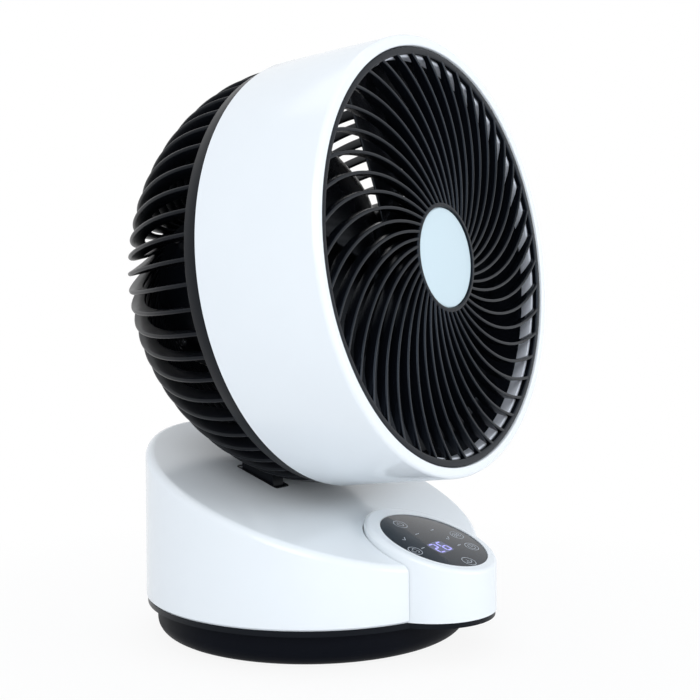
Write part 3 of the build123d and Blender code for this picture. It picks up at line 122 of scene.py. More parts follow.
# %% Rounded outlines, turned profiles and swept sections
def rounded(corners, steps=5):
    """A closed outline whose corners (a, b, radius) become arcs.

    The arc starts radius x tan(half the turn) before the corner, and its centre lies on the bisector
    at radius / cos(half the turn). Directions from the centre turn evenly from one side to the other.
    """
    pts = np.array([c[:2] for c in corners], float)
    out = []
    for k, corner in enumerate(corners):
        p, radius = pts[k], corner[2] if len(corner) > 2 else 0
        if radius <= 0:
            out.append(p[None])
            continue
        back, ahead = pts[k - 1] - p, pts[(k + 1) % len(pts)] - p
        room = 0.49 * min(np.linalg.norm(back), np.linalg.norm(ahead))
        back, ahead = back / np.linalg.norm(back), ahead / np.linalg.norm(ahead)
        half = 0.5 * (np.pi - np.arccos(np.clip(back @ ahead, -1, 1)))
        cut = min(radius * np.tan(half), room)
        radius = cut / np.tan(half)
        centre = p + (back + ahead) / np.linalg.norm(back + ahead) * radius / np.cos(half)
        a, b = (p + back * cut - centre) / radius, (p + ahead * cut - centre) / radius
        t = np.linspace(0, 1, steps)[:, None]
        fan = np.sin((1 - t) * 2 * half) * a + np.sin(t * 2 * half) * b
        out.append(centre + radius * fan / np.sin(2 * half))
    return np.concatenate(out)


def turned(profile, count, closed=True):
    """A profile (radius, height) turned about the axis: x = r cos a, y = r sin a, z = height."""
    a = np.linspace(0, 2 * np.pi, count, endpoint=False)
    r, z = profile[:, 0][:, None], profile[:, 1][:, None]
    points = np.stack([r * np.cos(a), r * np.sin(a), z + 0 * a], -1)
    return points.reshape(-1, 3), patch(len(profile), count, around=True, along=closed)


def tube_of(rings):
    """A solid bar from an array of closed rings (ring, point, xyz), with a flat face on each end."""
    n, m = rings.shape[:2]
    faces = patch(n, m, around=True).tolist()
    faces += [list(range(m))[::-1], list(range((n - 1) * m, n * m))]
    return rings.reshape(-1, 3), faces


square = [(0, 0, 1), (9, 0, 1), (9, 9, 1), (0, 9, 1)]
print("a square with rounded corners has", len(rounded(square)), "points")

# %% From arrays to a finished piece
MERGE = 0.002  # in mm, as are all sizes of shapes
SLIVER = 0.001


def shown(name, part, body, finish, nodes, sharp=32, move=None, recalc=True):
    """Makes the mesh in metres, merges doubled points, turns faces outwards, and attaches it to its body.

    part is (points, faces), nodes are the engineering parts that it replaces, and move takes its points
    to the shared frame. Edges that turn by more than sharp degrees stay crisp.
    """
    points, faces = part
    if move is not None:
        points = move(points)
    mesh = bpy.data.meshes.new(name)
    mesh.from_pydata((points * MM).tolist(), [], [list(f) for f in faces])
    bm = bmesh.new()
    bm.from_mesh(mesh)
    bmesh.ops.remove_doubles(bm, verts=bm.verts, dist=MERGE * MM)
    bmesh.ops.dissolve_degenerate(bm, edges=bm.edges, dist=SLIVER * MM)
    if recalc:
        bmesh.ops.recalc_face_normals(bm, faces=bm.faces)
    bm.to_mesh(mesh)
    open_edges = sum(1 for e in bm.edges if len(e.link_faces) != 2)
    bm.free()
    mesh.shade_smooth()
    mesh.set_sharp_from_angle(angle=float(np.radians(sharp)))
    piece = bpy.data.objects.new(name, mesh)
    bpy.context.scene.collection.objects.link(piece)
    mesh.materials.append(finish)
    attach(piece, body)
    if nodes:
        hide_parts(*nodes)
    print(name, len(mesh.polygons), "faces", open_edges, "open edges")
    return piece


print("points nearer than", MERGE, "mm are merged")

# %% [markdown]
# The head leans by one angle, and the deck and the touch window by another. Their pieces are drawn in
# axes of their own, which are easy to think in, and one move takes the points to the shared frame. On the
# head, z points the way the air goes and y points up. On the deck and the window, y points up the slope
# and z out of the surface.

# %% Axes of the head, the deck and the window
HEAD_TILT = 5.0
HEAD_AT = (0.0, -33.8, 228.012)
DECK_SLOPE = 19.65
DECK_HEIGHT = 91.5
PANEL_AT = (0.0, -91.8, 64.62)


def leaned(degrees, at):
    """A move that turns points about X and then shifts them: (x, c y - s z, s y + c z) + at.

    c and s are the cosine and sine of the angle.
    """
    c, s = np.cos(np.radians(degrees)), np.sin(np.radians(degrees))

    def move(points):
        """The points, leaned and shifted."""
        x, y, z = points.T
        return np.stack([x, c * y - s * z, s * y + c * z], -1) + at

    return move


on_head = leaned(90 - HEAD_TILT, HEAD_AT)
on_deck = leaned(DECK_SLOPE, (0.0, 0.0, DECK_HEIGHT))
on_panel = leaned(DECK_SLOPE, PANEL_AT)
print("the head's own origin is", HEAD_AT[2], "mm above the table")

# %% [markdown]
# ## Finishes
# Nearly all of this object is moulded plastic. ABS reflects about 4.5 % of the light straight on (IOR
# 1.54). What tells one moulding from another is the steel of its mould: a polished mould leaves a
# mirror-like skin with a very slow waviness, and a spark-eroded one leaves a fine grain. So one recipe
# with a slow wave, a grain and a faint unevenness of the gloss gives all of them, each from its own
# real sizes. The patterns read Object coordinates, which are metres, so a scale of 1 / size in metres
# gives one cell of the pattern that size.

# %% What all finishes share
def new_finish(name):
    """A material with nothing in its node tree yet, and that tree."""
    finish = bpy.data.materials.new(name)
    finish.use_nodes = True
    finish.node_tree.nodes.clear()
    return finish, finish.node_tree


def cells(size):
    """The scale that gives a pattern on Object coordinates cells of a size in mm."""
    return 1 / (size * MM)


def uneven(tree, cloud, colour, tint, rough, swing):
    """Colour x (1 - tint .. 1 + tint) and roughness x (1 - swing .. 1 + swing), both led by a noise.

    A noise keeps mostly between 0.3 and 0.7, so the roughness takes its whole range there.
    """
    base = np.array(linear(colour)[:3])
    shade = add(tree, "ShaderNodeMix", {"data_type": "RGBA"},
                {0: cloud, 6: (*(base * (1 - tint)), 1), 7: (*np.minimum(base * (1 + tint), 1), 1)})
    gloss = add(tree, "ShaderNodeMapRange", None,
                {"Value": cloud, "From Min": 0.3, "From Max": 0.7,
                 "To Min": rough * (1 - swing), "To Max": rough * (1 + swing)})
    return shade.outputs[2], gloss.outputs["Result"]


print("cells of 0.7 mm need a scale of", round(cells(0.7)))

# %% Moulded plastics
FLOW = 38.0
PLASTIC_SWING = 0.12


def moulding(name, colour, rough, wave, tint, grain=None, ior=1.54, level=0.5, gleam="ffffff"):
    """Injection-moulded plastic with a slow wave and, if given, a grain, each (cell, height) in mm.

    Colour and gloss drift over FLOW mm. tint is the spread of the colour, level the strength of the
    reflections, and gleam their colour.
    """
    finish, tree = new_finish(name)
    where = add(tree, "ShaderNodeTexCoord").outputs["Object"]
    flow = add(tree, "ShaderNodeTexNoise", None, {"Vector": where, "Scale": cells(FLOW), "Detail": 3.0})
    shade, gloss = uneven(tree, flow.outputs["Fac"], colour, tint, rough, PLASTIC_SWING)
    slow = add(tree, "ShaderNodeTexNoise", None, {"Vector": where, "Scale": cells(wave[0]), "Detail": 1.0})
    bump = add(tree, "ShaderNodeBump", None,
               {"Strength": 1.0, "Distance": wave[1] * MM, "Height": slow.outputs["Fac"]})
    if grain:
        fine = add(tree, "ShaderNodeTexNoise", None,
                   {"Vector": where, "Scale": cells(grain[0]), "Detail": 2.0, "Roughness": 0.6})
        bump = add(tree, "ShaderNodeBump", None,
                   {"Strength": 1.0, "Distance": grain[1] * MM, "Height": fine.outputs["Fac"],
                    "Normal": bump.outputs["Normal"]})
    shader = add(tree, "ShaderNodeBsdfPrincipled", None,
                 {"Base Color": shade, "Roughness": gloss, "IOR": ior, "Specular IOR Level": level,
                  "Specular Tint": linear(gleam), "Normal": bump.outputs["Normal"]})
    add(tree, "ShaderNodeOutputMaterial", None, {"Surface": shader.outputs[0]})
    return finish


# Gloss white ABS from a polished mould: a clean skin whose waviness only shows in long reflections.
white_abs = moulding("white_gloss_abs", DRUM_WHITE, 0.16, wave=(14.0, 0.03), tint=0.012, level=0.45)
# The duct is pale. Its bore round the fan is drawn dark and polished as painted shade deep inside the
# head. Its mouth, a pale ring behind the guard, has a satin skin.
painted_shade_bore = moulding("painted_shade_bore_abs", "12141a", 0.18, wave=(16.0, 0.03), tint=0.10, level=0.4,
                    gleam="c8daf4")
mouth_abs = moulding("pale_satin_abs", "e2e7f0", 0.30, wave=(16.0, 0.03), tint=0.03, level=0.4,
                     gleam="e6eefa")
# The hub cap is a satin white with a cooler, slightly darker tone than the drum.
cap_abs = moulding("pearl_white_abs", "cde0e8", 0.34, wave=(30.0, 0.004), tint=0.008, level=0.3)
# Black ABS with a spark-eroded grain. The real 0.2 mm grain is drawn 0.7 mm wide, so that it shows.
black_abs = moulding("black_grained_abs", "0b0d12", 0.34, wave=(20.0, 0.02), grain=(0.7, 0.018), tint=0.12,
                     level=0.14, gleam="dce8f6")
# The foot is black ABS with a slightly deeper grain, nearly without gloss.
foot_abs = moulding("black_matt_abs", "0b0e15", 0.5, wave=(20.0, 0.02), grain=(0.7, 0.02), tint=0.12,
                    level=0.04)
# Black ABS of the front guard: polished bars that catch a light line along each edge.
guard_abs = moulding("black_polished_abs", "090b10", 0.24, wave=(12.0, 0.02), tint=0.12, level=0.26,
                     gleam="c6daf2")
# Black fan blades, AS resin with a polished skin and the faint flow lines of the moulding.
blade_resin = moulding("black_blade_resin", "06070a", 0.26, wave=(7.0, 0.05), tint=0.15, ior=1.57,
                       level=0.16, gleam="d0e0f4")
# Acetal bearing plastic: waxy and off-white.
acetal = moulding("natural_acetal", "e4e0d4", 0.38, wave=(5.0, 0.02), tint=0.03, ior=1.48)
# Black polycarbonate body of the display: dull.
display_body = moulding("black_display_body", "0c0d10", 0.5, wave=(4.0, 0.02), tint=0.08)
# Green solder mask, a glossy varnish over the copper and glass cloth of a circuit board.
circuit = moulding("green_solder_mask", "1d4a31", 0.35, wave=(3.0, 0.02), tint=0.2, ior=1.5)
# Moulded rubber: nearly no gloss, and a fine talc bloom that lightens it in patches.
rubber = moulding("black_moulded_rubber", "1b1b1c", 0.75, wave=(2.0, 0.03), grain=(0.5, 0.02), tint=0.25,
                  ior=1.52, level=0.3)
print("plastics and rubber made")

# %% [markdown]
# The touch window is a disc of clear acrylic printed dark on its back, so its face is smooth and mirrors
# the room strongly at the flat angle from which it is mostly seen. The marks are printed in light grey
# and the digits are lit from below.

# %% Window, prints and lit digits
window = moulding("dark_printed_acrylic", "1c242b", 0.07, wave=(22.0, 0.01), tint=0.2, ior=1.49, level=0.27,
                  gleam="e6ecff")
print_grey = moulding("light_grey_print", "b9c0c8", 0.4, wave=(3.0, 0.01), tint=0.05, level=0.3)
LED_CLOUD = 2.5
LED_DIM = 0.7


def lit(name, colour, strength):
    """A light-emitting segment: plain emission over a dull plastic, dimmer in clouds of LED_CLOUD mm."""
    finish, tree = new_finish(name)
    where = add(tree, "ShaderNodeTexCoord").outputs["Object"]
    cloud = add(tree, "ShaderNodeTexNoise", None, {"Vector": where, "Scale": cells(LED_CLOUD), "Detail": 1.0})
    base = np.array(linear(colour)[:3])
    glow = add(tree, "ShaderNodeMix", {"data_type": "RGBA"},
               {0: cloud.outputs["Fac"], 6: (*(base * LED_DIM), 1), 7: (*base, 1)})
    shader = add(tree, "ShaderNodeBsdfPrincipled", None,
                 {"Base Color": glow.outputs[2], "Roughness": 0.5, "Emission Color": glow.outputs[2],
                  "Emission Strength": strength})
    add(tree, "ShaderNodeOutputMaterial", None, {"Surface": shader.outputs[0]})
    return finish


digit_light = lit("violet_led", "a9a6f2", 1.0)
haze_light = lit("diffused_led_glow", "5c6078", 0.35)
print("window, prints and lights made")

# %% [markdown]
# Nearly all of the metal is out of sight, yet each part is finished as it is made. A turned part shows
# rings about its axis, plating is a patchwork of slightly different greys, a die casting is dull and a
# little pitted, and wound copper shows its turns as fine lines.

# %% Metals
METAL_TINT = 0.12
METAL_SWING = 0.2


def metal(name, colour, rough, cell, height, stretch=(1, 1, 1), metallic=1.0):
    """A metal surface, whose shade and relief follow one noise, stretched along the tool marks.

    cell is the size of its cells and height that of its relief, both in mm.
    """
    finish, tree = new_finish(name)
    where = add(tree, "ShaderNodeTexCoord").outputs["Object"]
    grain = add(tree, "ShaderNodeMapping", None, {"Vector": where, "Scale": stretch})
    marks = add(tree, "ShaderNodeTexNoise", None,
                {"Vector": grain.outputs["Vector"], "Scale": cells(cell), "Detail": 4.0})
    shade, gloss = uneven(tree, marks.outputs["Fac"], colour, METAL_TINT, rough, METAL_SWING)
    bump = add(tree, "ShaderNodeBump", None,
               {"Strength": 1.0, "Distance": height * MM, "Height": marks.outputs["Fac"]})
    shader = add(tree, "ShaderNodeBsdfPrincipled", None,
                 {"Base Color": shade, "Roughness": gloss, "Metallic": metallic,
                  "Normal": bump.outputs["Normal"]})
    add(tree, "ShaderNodeOutputMaterial", None, {"Surface": shader.outputs[0]})
    return finish


zinc_screw = metal("zinc_plated_screw_steel", "a3a5a8", 0.34, 0.8, 0.01)
ground_steel = metal("turned_and_ground_steel", "b4b5b8", 0.22, 1.2, 0.006, stretch=(1, 1, 8))
zinc_sheet = metal("zinc_plated_sheet_steel", "b0b3b6", 0.4, 6.0, 0.008)
primed_steel = metal("primed_ballast_steel", "44474a", 0.6, 2.0, 0.03, metallic=0.0)
laminations = metal("varnished_laminations", "4a4d52", 0.42, 0.5, 0.03, stretch=(1, 6, 1))
cast_alloy = metal("die_cast_alloy", "bcbdbf", 0.46, 1.5, 0.03)
copper = metal("enamelled_copper_wire", "b87347", 0.3, 0.6, 0.05, stretch=(1, 5, 1))
print("metals made")

# %% [markdown]
# ## Parts that keep their engineering mesh
# Most inner parts already have the right shape, so only their material changes. The record of the frame
# names a material slot for each part, and one table turns a slot into a finish. The print at the end
# shows that no part was missed.

# %% One finish for every part
by_slot = {"white_plastic": white_abs, "black_plastic": black_abs, "blade_plastic": blade_resin,
           "panel_gloss": window, "display_black": display_body, "rubber": rubber, "screw_steel": zinc_screw,
           "turned_steel": ground_steel, "zinc_steel": zinc_sheet, "ballast_steel": primed_steel,
           "core_steel": laminations, "motor_aluminium": cast_alloy, "copper_wire": copper,
           "bearing_plastic": acetal, "circuit_board": circuit}
slot_of = {part["node"]: part["material_slot"] for part in frame["record"]["subparts"]}
for node, slot in slot_of.items():
    for holder in frame["nodes"][node].material_slots:
        holder.material = by_slot[slot]
print("finished", len(slot_of), "of", len(frame["nodes"]), "parts")

# %% [markdown]
# The big mouldings of the base, and the hinge arms, have exact engineering shapes, but their meshes are
# loose triangles that shade in facets. A merged copy is shaded smoothly, with normals weighted by the
# area of the faces, so the deck stays flat and its rounded edge takes all of the turn.

# %% Smooth copies of the base mouldings and the arms
def smooth_copy(node, body, finish, name):
    """The node's own triangles with their doubled corners merged, smooth up to a turn of 30 degrees."""
    mesh = frame["nodes"][node].data
    points = np.empty(len(mesh.vertices) * 3)
    mesh.vertices.foreach_get("co", points)
    corners = np.empty(len(mesh.loops), int)
    mesh.loops.foreach_get("vertex_index", corners)
    piece = shown(name, (points.reshape(-1, 3) / MM, corners.reshape(-1, 3)), body, finish,
                  [node], sharp=30, recalc=False)
    weigh = piece.modifiers.new("even_shading", "WEIGHTED_NORMAL")
    weigh.keep_sharp = True


smooth_copy("base_shell", "base", white_abs, "base_cover")
smooth_copy("console_housing", "base", white_abs, "console_can")
smooth_copy("base_floor", "base", black_abs, "floor_plate")
smooth_copy("foot_shell", "foot", foot_abs, "foot_dish")
smooth_copy("tilt_bracket", "head", black_abs, "hinge_arms")

# %% [markdown]
# Each arm goes down into the base through a slot, and in the photograph it meets the deck in a crisp dark
# edge. A thin black lip round each slot gives that edge and hides the cut of the white cover. It could be
# cut from the cover with a boolean, but a closed strip is simpler and cleaner: one rounded rectangle,
# drawn again and again at the offset and height of each point of the lip's section.

# %% Lips of the two deck slots
SLOT_INNER = 22.5
SLOT_OUTER = 34.3
SLOT_FRONT = 2.4 / np.cos(np.radians(DECK_SLOPE))
SLOT_BACK = 33.8 / np.cos(np.radians(DECK_SLOPE))
LIP_WIDTH = 1.0
LIP_TOP = 0.6
LIP_DEPTH = 1.2
SLOT_CORNER = 1.0


def slot_lip(x0, x1):
    """Offset and height of the section at each step, carried round the slot from x0 to x1.

    Its corners are rounded by SLOT_CORNER plus the offset, so the lip is as wide there as elsewhere.
    """
    section = rounded([(0, -LIP_DEPTH, 0), (0, LIP_TOP, 0.4), (LIP_WIDTH, LIP_TOP, 0.5),
                       (LIP_WIDTH, -LIP_DEPTH, 0)], 4)
    loops = []
    for out, up in section:
        bend = SLOT_CORNER + out
        edge = rounded([(x0 - out, SLOT_FRONT - out, bend), (x1 + out, SLOT_FRONT - out, bend),
                        (x1 + out, SLOT_BACK + out, bend), (x0 - out, SLOT_BACK + out, bend)], 6)
        loops.append(np.column_stack([edge, np.full(len(edge), up)]))
    rings = np.array(loops)
    return rings.reshape(-1, 3), patch(rings.shape[0], rings.shape[1], around=True, along=True)


lips = joined(slot_lip(SLOT_INNER, SLOT_OUTER), slot_lip(-SLOT_OUTER, -SLOT_INNER))
shown("slot_lips", lips, "base", black_abs, [], move=on_deck)

# %% [markdown]
# ## The head, from outside to inside
# The drum is one white moulding with a slight taper and a rounded lip, which turns back as a collar round
# the guard. The profile goes round the wall once, and is turned about the axis of the head. 256 steps
# keep its outline round in a close view. Inside it the fan runs in a pale duct. Its deep bore is drawn
# dark as painted shade, and its mouth just behind the guard keeps the pale colour. In a profile a corner
# is (radius, place along the axis, rounding), in mm.

# %% Drum
WALL = 2.2
DRUM_RADIUS = 134.0
DRUM_BACK = -9.1
DRUM_FRONT = 69.8
LIP_RADIUS = 130.78
LIP_INNER = 128.1
LIP_FLOOR = 67.2
COLLAR_RADIUS = 124.3
COLLAR_BACK = 59.8
drum = turned(rounded([(DRUM_RADIUS, DRUM_BACK, 0.5), (LIP_RADIUS, DRUM_FRONT, 3.0),
                       (COLLAR_RADIUS, DRUM_FRONT, 0.9), (COLLAR_RADIUS, COLLAR_BACK, 0.3),
                       (COLLAR_RADIUS + WALL, COLLAR_BACK, 0.3), (COLLAR_RADIUS + WALL, LIP_FLOOR, 0.5),
                       (LIP_INNER, LIP_FLOOR, 0.5), (DRUM_RADIUS - WALL, DRUM_BACK, 0.3)], 7), 256)
shown("drum_wall", drum, "head", white_abs, ["drum_shell"], move=on_head)

# %% Bore and its mouth
BORE_RADIUS = 118.5
BORE_OUTER = BORE_RADIUS + WALL
BORE_BACK = -5.9
BORE_FRONT = 57.1
FLANGE_RADIUS = 128.6
FLANGE_FRONT = -3.3
bore = turned(rounded([(BORE_RADIUS, BORE_BACK, 0.4), (FLANGE_RADIUS, BORE_BACK, 0.3),
                       (FLANGE_RADIUS, FLANGE_FRONT, 0.3), (BORE_OUTER, FLANGE_FRONT, 0.4),
                       (BORE_OUTER, BORE_FRONT, 0.2), (BORE_RADIUS, BORE_FRONT, 0.3)], 4), 192)
# The dark colour of the bore is painted shade inside the pale duct.
shown("duct_bore", bore, "head", painted_shade_bore, ["air_duct"], move=on_head)

MOUTH_BACK = 57.2
MOUTH_FRONT = 64.8
MOUTH_WALL = 2.4
BACK_RIM = 128.0
FRONT_RIM = 124.0
mouth = turned(rounded([(BORE_RADIUS, MOUTH_BACK, 0.3), (BACK_RIM, MOUTH_BACK, 0.3),
                        (BACK_RIM, MOUTH_BACK + MOUTH_WALL, 0.3),
                        (BORE_OUTER, MOUTH_BACK + MOUTH_WALL, 0.4),
                        (BORE_OUTER, MOUTH_FRONT - MOUTH_WALL, 0.3),
                        (FRONT_RIM, MOUTH_FRONT - MOUTH_WALL, 0.3),
                        (FRONT_RIM, MOUTH_FRONT, 0.3), (BORE_RADIUS, MOUTH_FRONT, 0.8)], 4), 192)
shown("duct_mouth", mouth, "head", mouth_abs, ["air_duct"], move=on_head)

# %% [markdown]
# ## Front guard
# Forty-four thin deep spokes sweep from the hub ring to the outer ring, each an arc of a circle whose
# centre lies off the axis. They guide the air and keep fingers out. A curve object with a bevel could
# make them, but its section cannot be a tall bar that thins out towards the ring, so one spoke is
# worked out as rings of points and copied round the axis.

# %% One spoke as rings of points
SPOKES = 44
SPOKE_WIDTH = 2.0
SPOKE_DEPTH = 6.5
SPOKE_BEND = 95.1
SPOKE_OFFSET = 87.0
SPOKE_PHASE = 53.7
GUARD_FACE = 68.5
GUARD_RADIUS = 123.9
RING_INNER = 119.6
RING_DEPTH = 3.4


def off_centre_arc(r, distance, bend, first, side):
    """Point at radius r of an arc of radius bend about a centre at distance in the direction first.

    By the cosine rule its angle is first plus side x arccos((r^2 + distance^2 - bend^2) / (2 r distance)),
    and the direction across the bar points from the arc's centre to the point.
    """
    lean = np.arccos(np.clip((r ** 2 + distance ** 2 - bend ** 2) / (2 * r * distance), -1, 1))
    angle = np.radians(first) + side * lean
    at = np.stack([r * np.cos(angle), r * np.sin(angle)], -1)
    centre = distance * np.array([np.cos(np.radians(first)), np.sin(np.radians(first))])
    across = (at - centre) / bend
    return at, across / np.linalg.norm(across, axis=-1, keepdims=True)


def spoke(start=31.4, end=121.4, thins_from=107.6, thins_to=118.1, steps=44):
    """A bar from radius start to end. Its depth falls to RING_DEPTH between thins_from and thins_to."""
    w = SPOKE_WIDTH / 2
    section = rounded([(-w, 0, 0.85), (w, 0, 0.85), (w, SPOKE_DEPTH, 0.5), (-w, SPOKE_DEPTH, 0.5)], 4)
    r = np.linspace(start, end, steps)
    depth = np.interp(r, [thins_from, thins_to], [1.0, RING_DEPTH / SPOKE_DEPTH])
    at, across = off_centre_arc(r, SPOKE_OFFSET, SPOKE_BEND, SPOKE_PHASE, -1)
    plan = at[:, None] + section[None, :, :1] * across[:, None]
    height = GUARD_FACE - section[None, :, 1] * depth[:, None]
    return tube_of(np.concatenate([plan, height[..., None]], -1))


print("one spoke has", len(spoke()[0]), "points")

# %% Ring, hub and cap of the front guard
GUARD_HUB = 32.8
CAP_RADIUS = 30.1
CAP_BACK = 64.9
CAP_FACE = 67.6
SEAT = CAP_BACK - 0.2
HOLE = CAP_RADIUS + 0.2
TONGUE_INNER = 15.4
TONGUE_OUTER = 17.6
TONGUE_BACK = 63.9
PLAY = 0.4
GROOVE_FLOOR = 63.6
hub_back = GUARD_FACE - SPOKE_DEPTH
guard_ring = turned(rounded([(RING_INNER, GUARD_FACE - RING_DEPTH, 0.3),
                             (GUARD_RADIUS, GUARD_FACE - RING_DEPTH, 0.3),
                             (GUARD_RADIUS, GUARD_FACE, 0.9), (RING_INNER, GUARD_FACE, 1.0)]), 256)
guard_hub = turned(rounded([(0, hub_back), (GUARD_HUB, hub_back, 0.8), (GUARD_HUB, GUARD_FACE, 0.9),
                            (HOLE, GUARD_FACE, 0.4), (HOLE, SEAT, 0.2), (TONGUE_OUTER + PLAY, SEAT),
                            (TONGUE_OUTER + PLAY, GROOVE_FLOOR), (TONGUE_INNER - PLAY, GROOVE_FLOOR),
                            (TONGUE_INNER - PLAY, SEAT), (0, SEAT)]), 128, closed=False)
front = joined(guard_ring, guard_hub, copies(spoke(), np.arange(SPOKES) * 360 / SPOKES))
shown("front_guard", front, "head", guard_abs, ["front_grille"], move=on_head)
cap = turned(rounded([(0, CAP_BACK), (TONGUE_INNER, CAP_BACK), (TONGUE_INNER, TONGUE_BACK),
                      (TONGUE_OUTER, TONGUE_BACK), (TONGUE_OUTER, CAP_BACK), (CAP_RADIUS, CAP_BACK, 0.3),
                      (CAP_RADIUS, CAP_FACE, 1.1), (0, CAP_FACE)]), 128, closed=False)
shown("guard_cap", cap, "head", cap_abs, ["hub_cap"], move=on_head)

# %% [markdown]
# ## Rear guard
# The cage behind the drum is a band, a hub ring and sixty ribs that leave the band square to it and
# bend one way as they run over the dome. The dome is two arcs: a tight shoulder next to the band and a
# flatter back. So a rib follows the meridian of the dome, while its angle follows an arc in plan.

# %% Ribs over the dome
DOME_RADIUS = 132.1
DOME_START = -23.7
SHOULDER = 90.0
BACK = 134.0
SWEEP = np.radians(24.0)
BACK_AT = np.array([DOME_RADIUS - SHOULDER - (BACK - SHOULDER) * np.cos(SWEEP),
                    DOME_START + (BACK - SHOULDER) * np.sin(SWEEP)])
RIBS = 60
RIB_PHASE = 4.4
HUB_OUTER = 53.0
RIB_MISS = 0.855 * HUB_OUTER


def meridian(inner_angle, back_steps, shoulder_steps, end):
    """Points (radius, height) and slope of the dome's outline, from an angle on the back arc to the band.

    A point of an arc is its centre plus radius x (cos, -sin) of the angle. The last points go straight up.
    """
    a = np.linspace(inner_angle, SWEEP, back_steps, endpoint=False)
    b = np.linspace(SWEEP, 0, shoulder_steps)
    flat = np.linspace(DOME_START, end, 4)[1:]
    back = BACK_AT + BACK * np.stack([np.cos(a), -np.sin(a)], -1)
    shoulder_at = np.array([DOME_RADIUS - SHOULDER, DOME_START])
    shoulder = shoulder_at + SHOULDER * np.stack([np.cos(b), -np.sin(b)], -1)
    up = np.stack([np.full(3, DOME_RADIUS), flat], -1)
    return np.concatenate([back, shoulder, up]), np.concatenate([a, b, np.zeros(3)])


def rib(start=52.0, end=-17.0, width=2.8, inner_width=1.8, depth=9.0):
    """A fin along the dome, from radius start to a place on the band, thinner at its inner edge.

    In plan it is an arc that leaves the band square to it, so its centre lies on the band's tangent there.
    Its circle passes the axis RIB_MISS away, so its radius is (dome radius^2 - miss^2) / (2 miss).
    """
    out, inside = width / 2, inner_width / 2
    section = rounded([(-out, 0, 1.25), (out, 0, 1.25), (inside, depth, 0.7), (-inside, depth, 0.7)], 4)
    path, lean = meridian(np.arccos((start - BACK_AT[0]) / BACK), 24, 12, end)
    bend = (DOME_RADIUS ** 2 - RIB_MISS ** 2) / (2 * RIB_MISS)
    first = RIB_PHASE - np.degrees(np.arctan2(bend, DOME_RADIUS))
    r = path[:, None, 0] - section[None, :, 1] * np.cos(lean)[:, None]
    height = path[:, None, 1] + section[None, :, 1] * np.sin(lean)[:, None]
    at, across = off_centre_arc(r, np.hypot(DOME_RADIUS, bend), bend, first, 1)
    plan = at + section[None, :, :1] * across
    return tube_of(np.concatenate([plan, height[..., None]], -1))


print("one rib has", len(rib()[0]), "points")

# %% [markdown]
# The bracket that carries the head is screwed to the bottom of the cage, where a solid field fills the
# gaps between the ribs. It could be a grid cut out of a sphere, but this dome is no sphere. So its points
# are spread evenly across, and each lies on the dome's outline at its own distance from the axis.

# %% Field under the hinge arms
def bracket_pad(half_width=36.0, top=-79.9, end=-17.6, wall=5.5):
    """The solid field at the bottom of the dome, where the arms are screwed on.

    Its outer face is y = -sqrt(r^2 - x^2) on the dome's outline, and the inner one the same, wall deeper.
    """
    path, lean = meridian(np.arcsin((BACK_AT[1] - top) / BACK), 10, 12, end)
    x = np.linspace(-half_width, half_width, 25)
    outer = np.stack([x + 0 * path[:, :1], -np.sqrt(path[:, :1] ** 2 - x ** 2), path[:, 1:] + 0 * x], -1)
    r, d = path[:, :1] - wall * np.cos(lean)[:, None], path[:, 1:] + wall * np.sin(lean)[:, None]
    inner = np.stack([x + 0 * r, -np.sqrt(r ** 2 - x ** 2), d + 0 * x], -1)
    return tube_of(np.concatenate([outer, inner[:, ::-1]], 1))


print("the field has", len(bracket_pad()[1]), "faces")

# %% Band and hub ring of the rear guard
BAND_RADIUS = 133.7
BAND_TOP = -9.4
BAND_BACK = -18.9
BAND_INNER = 126.6
SHELF_BACK = -9.9
SHELF_FRONT = -6.3
SPIGOT_INNER = 129.4
SPIGOT_OUTER = 131.3
SPIGOT_FRONT = -2.5
band = turned(rounded([(BAND_RADIUS, BAND_TOP, 0.4), (DOME_RADIUS, BAND_BACK, 0.8),
                       (BAND_INNER, BAND_BACK, 0.8), (BAND_INNER, SHELF_BACK, 0.3),
                       (BORE_OUTER, SHELF_BACK, 0.4),
                       (BORE_OUTER, SHELF_FRONT, 0.3), (SPIGOT_INNER, SHELF_FRONT, 0.3),
                       (SPIGOT_INNER, SPIGOT_FRONT, 0.3), (SPIGOT_OUTER, SPIGOT_FRONT, 0.3),
                       (SPIGOT_OUTER, BAND_TOP, 0.3)], 5), 256)
REAR_HUB = 50.0
REAR_HOLE = 44.0
HUB_DEPTH = 8.0
HUB_FACE = BACK_AT[1] - np.sqrt(BACK ** 2 - (REAR_HUB - BACK_AT[0]) ** 2)
hub_ring = turned(rounded([(REAR_HOLE, HUB_FACE, 0.5), (REAR_HUB, HUB_FACE, 1.5),
                           (HUB_OUTER + 0.3, HUB_FACE + 1.4, 1.0), (HUB_OUTER, HUB_FACE + HUB_DEPTH, 0.4),
                           (REAR_HOLE, HUB_FACE + HUB_DEPTH, 0.4)], 5), 128)
cage = joined(band, hub_ring, bracket_pad(), copies(rib(), np.arange(RIBS) * 360 / RIBS))
shown("rear_cage", cage, "head", black_abs, ["rear_grille"], move=on_head)

# %% [markdown]
# A plain round cap closes the rear hub behind the motor. Its rim lies in the hub ring and a skirt inside
# it goes forward, so it is one profile again, with places measured from the face of the hub ring.

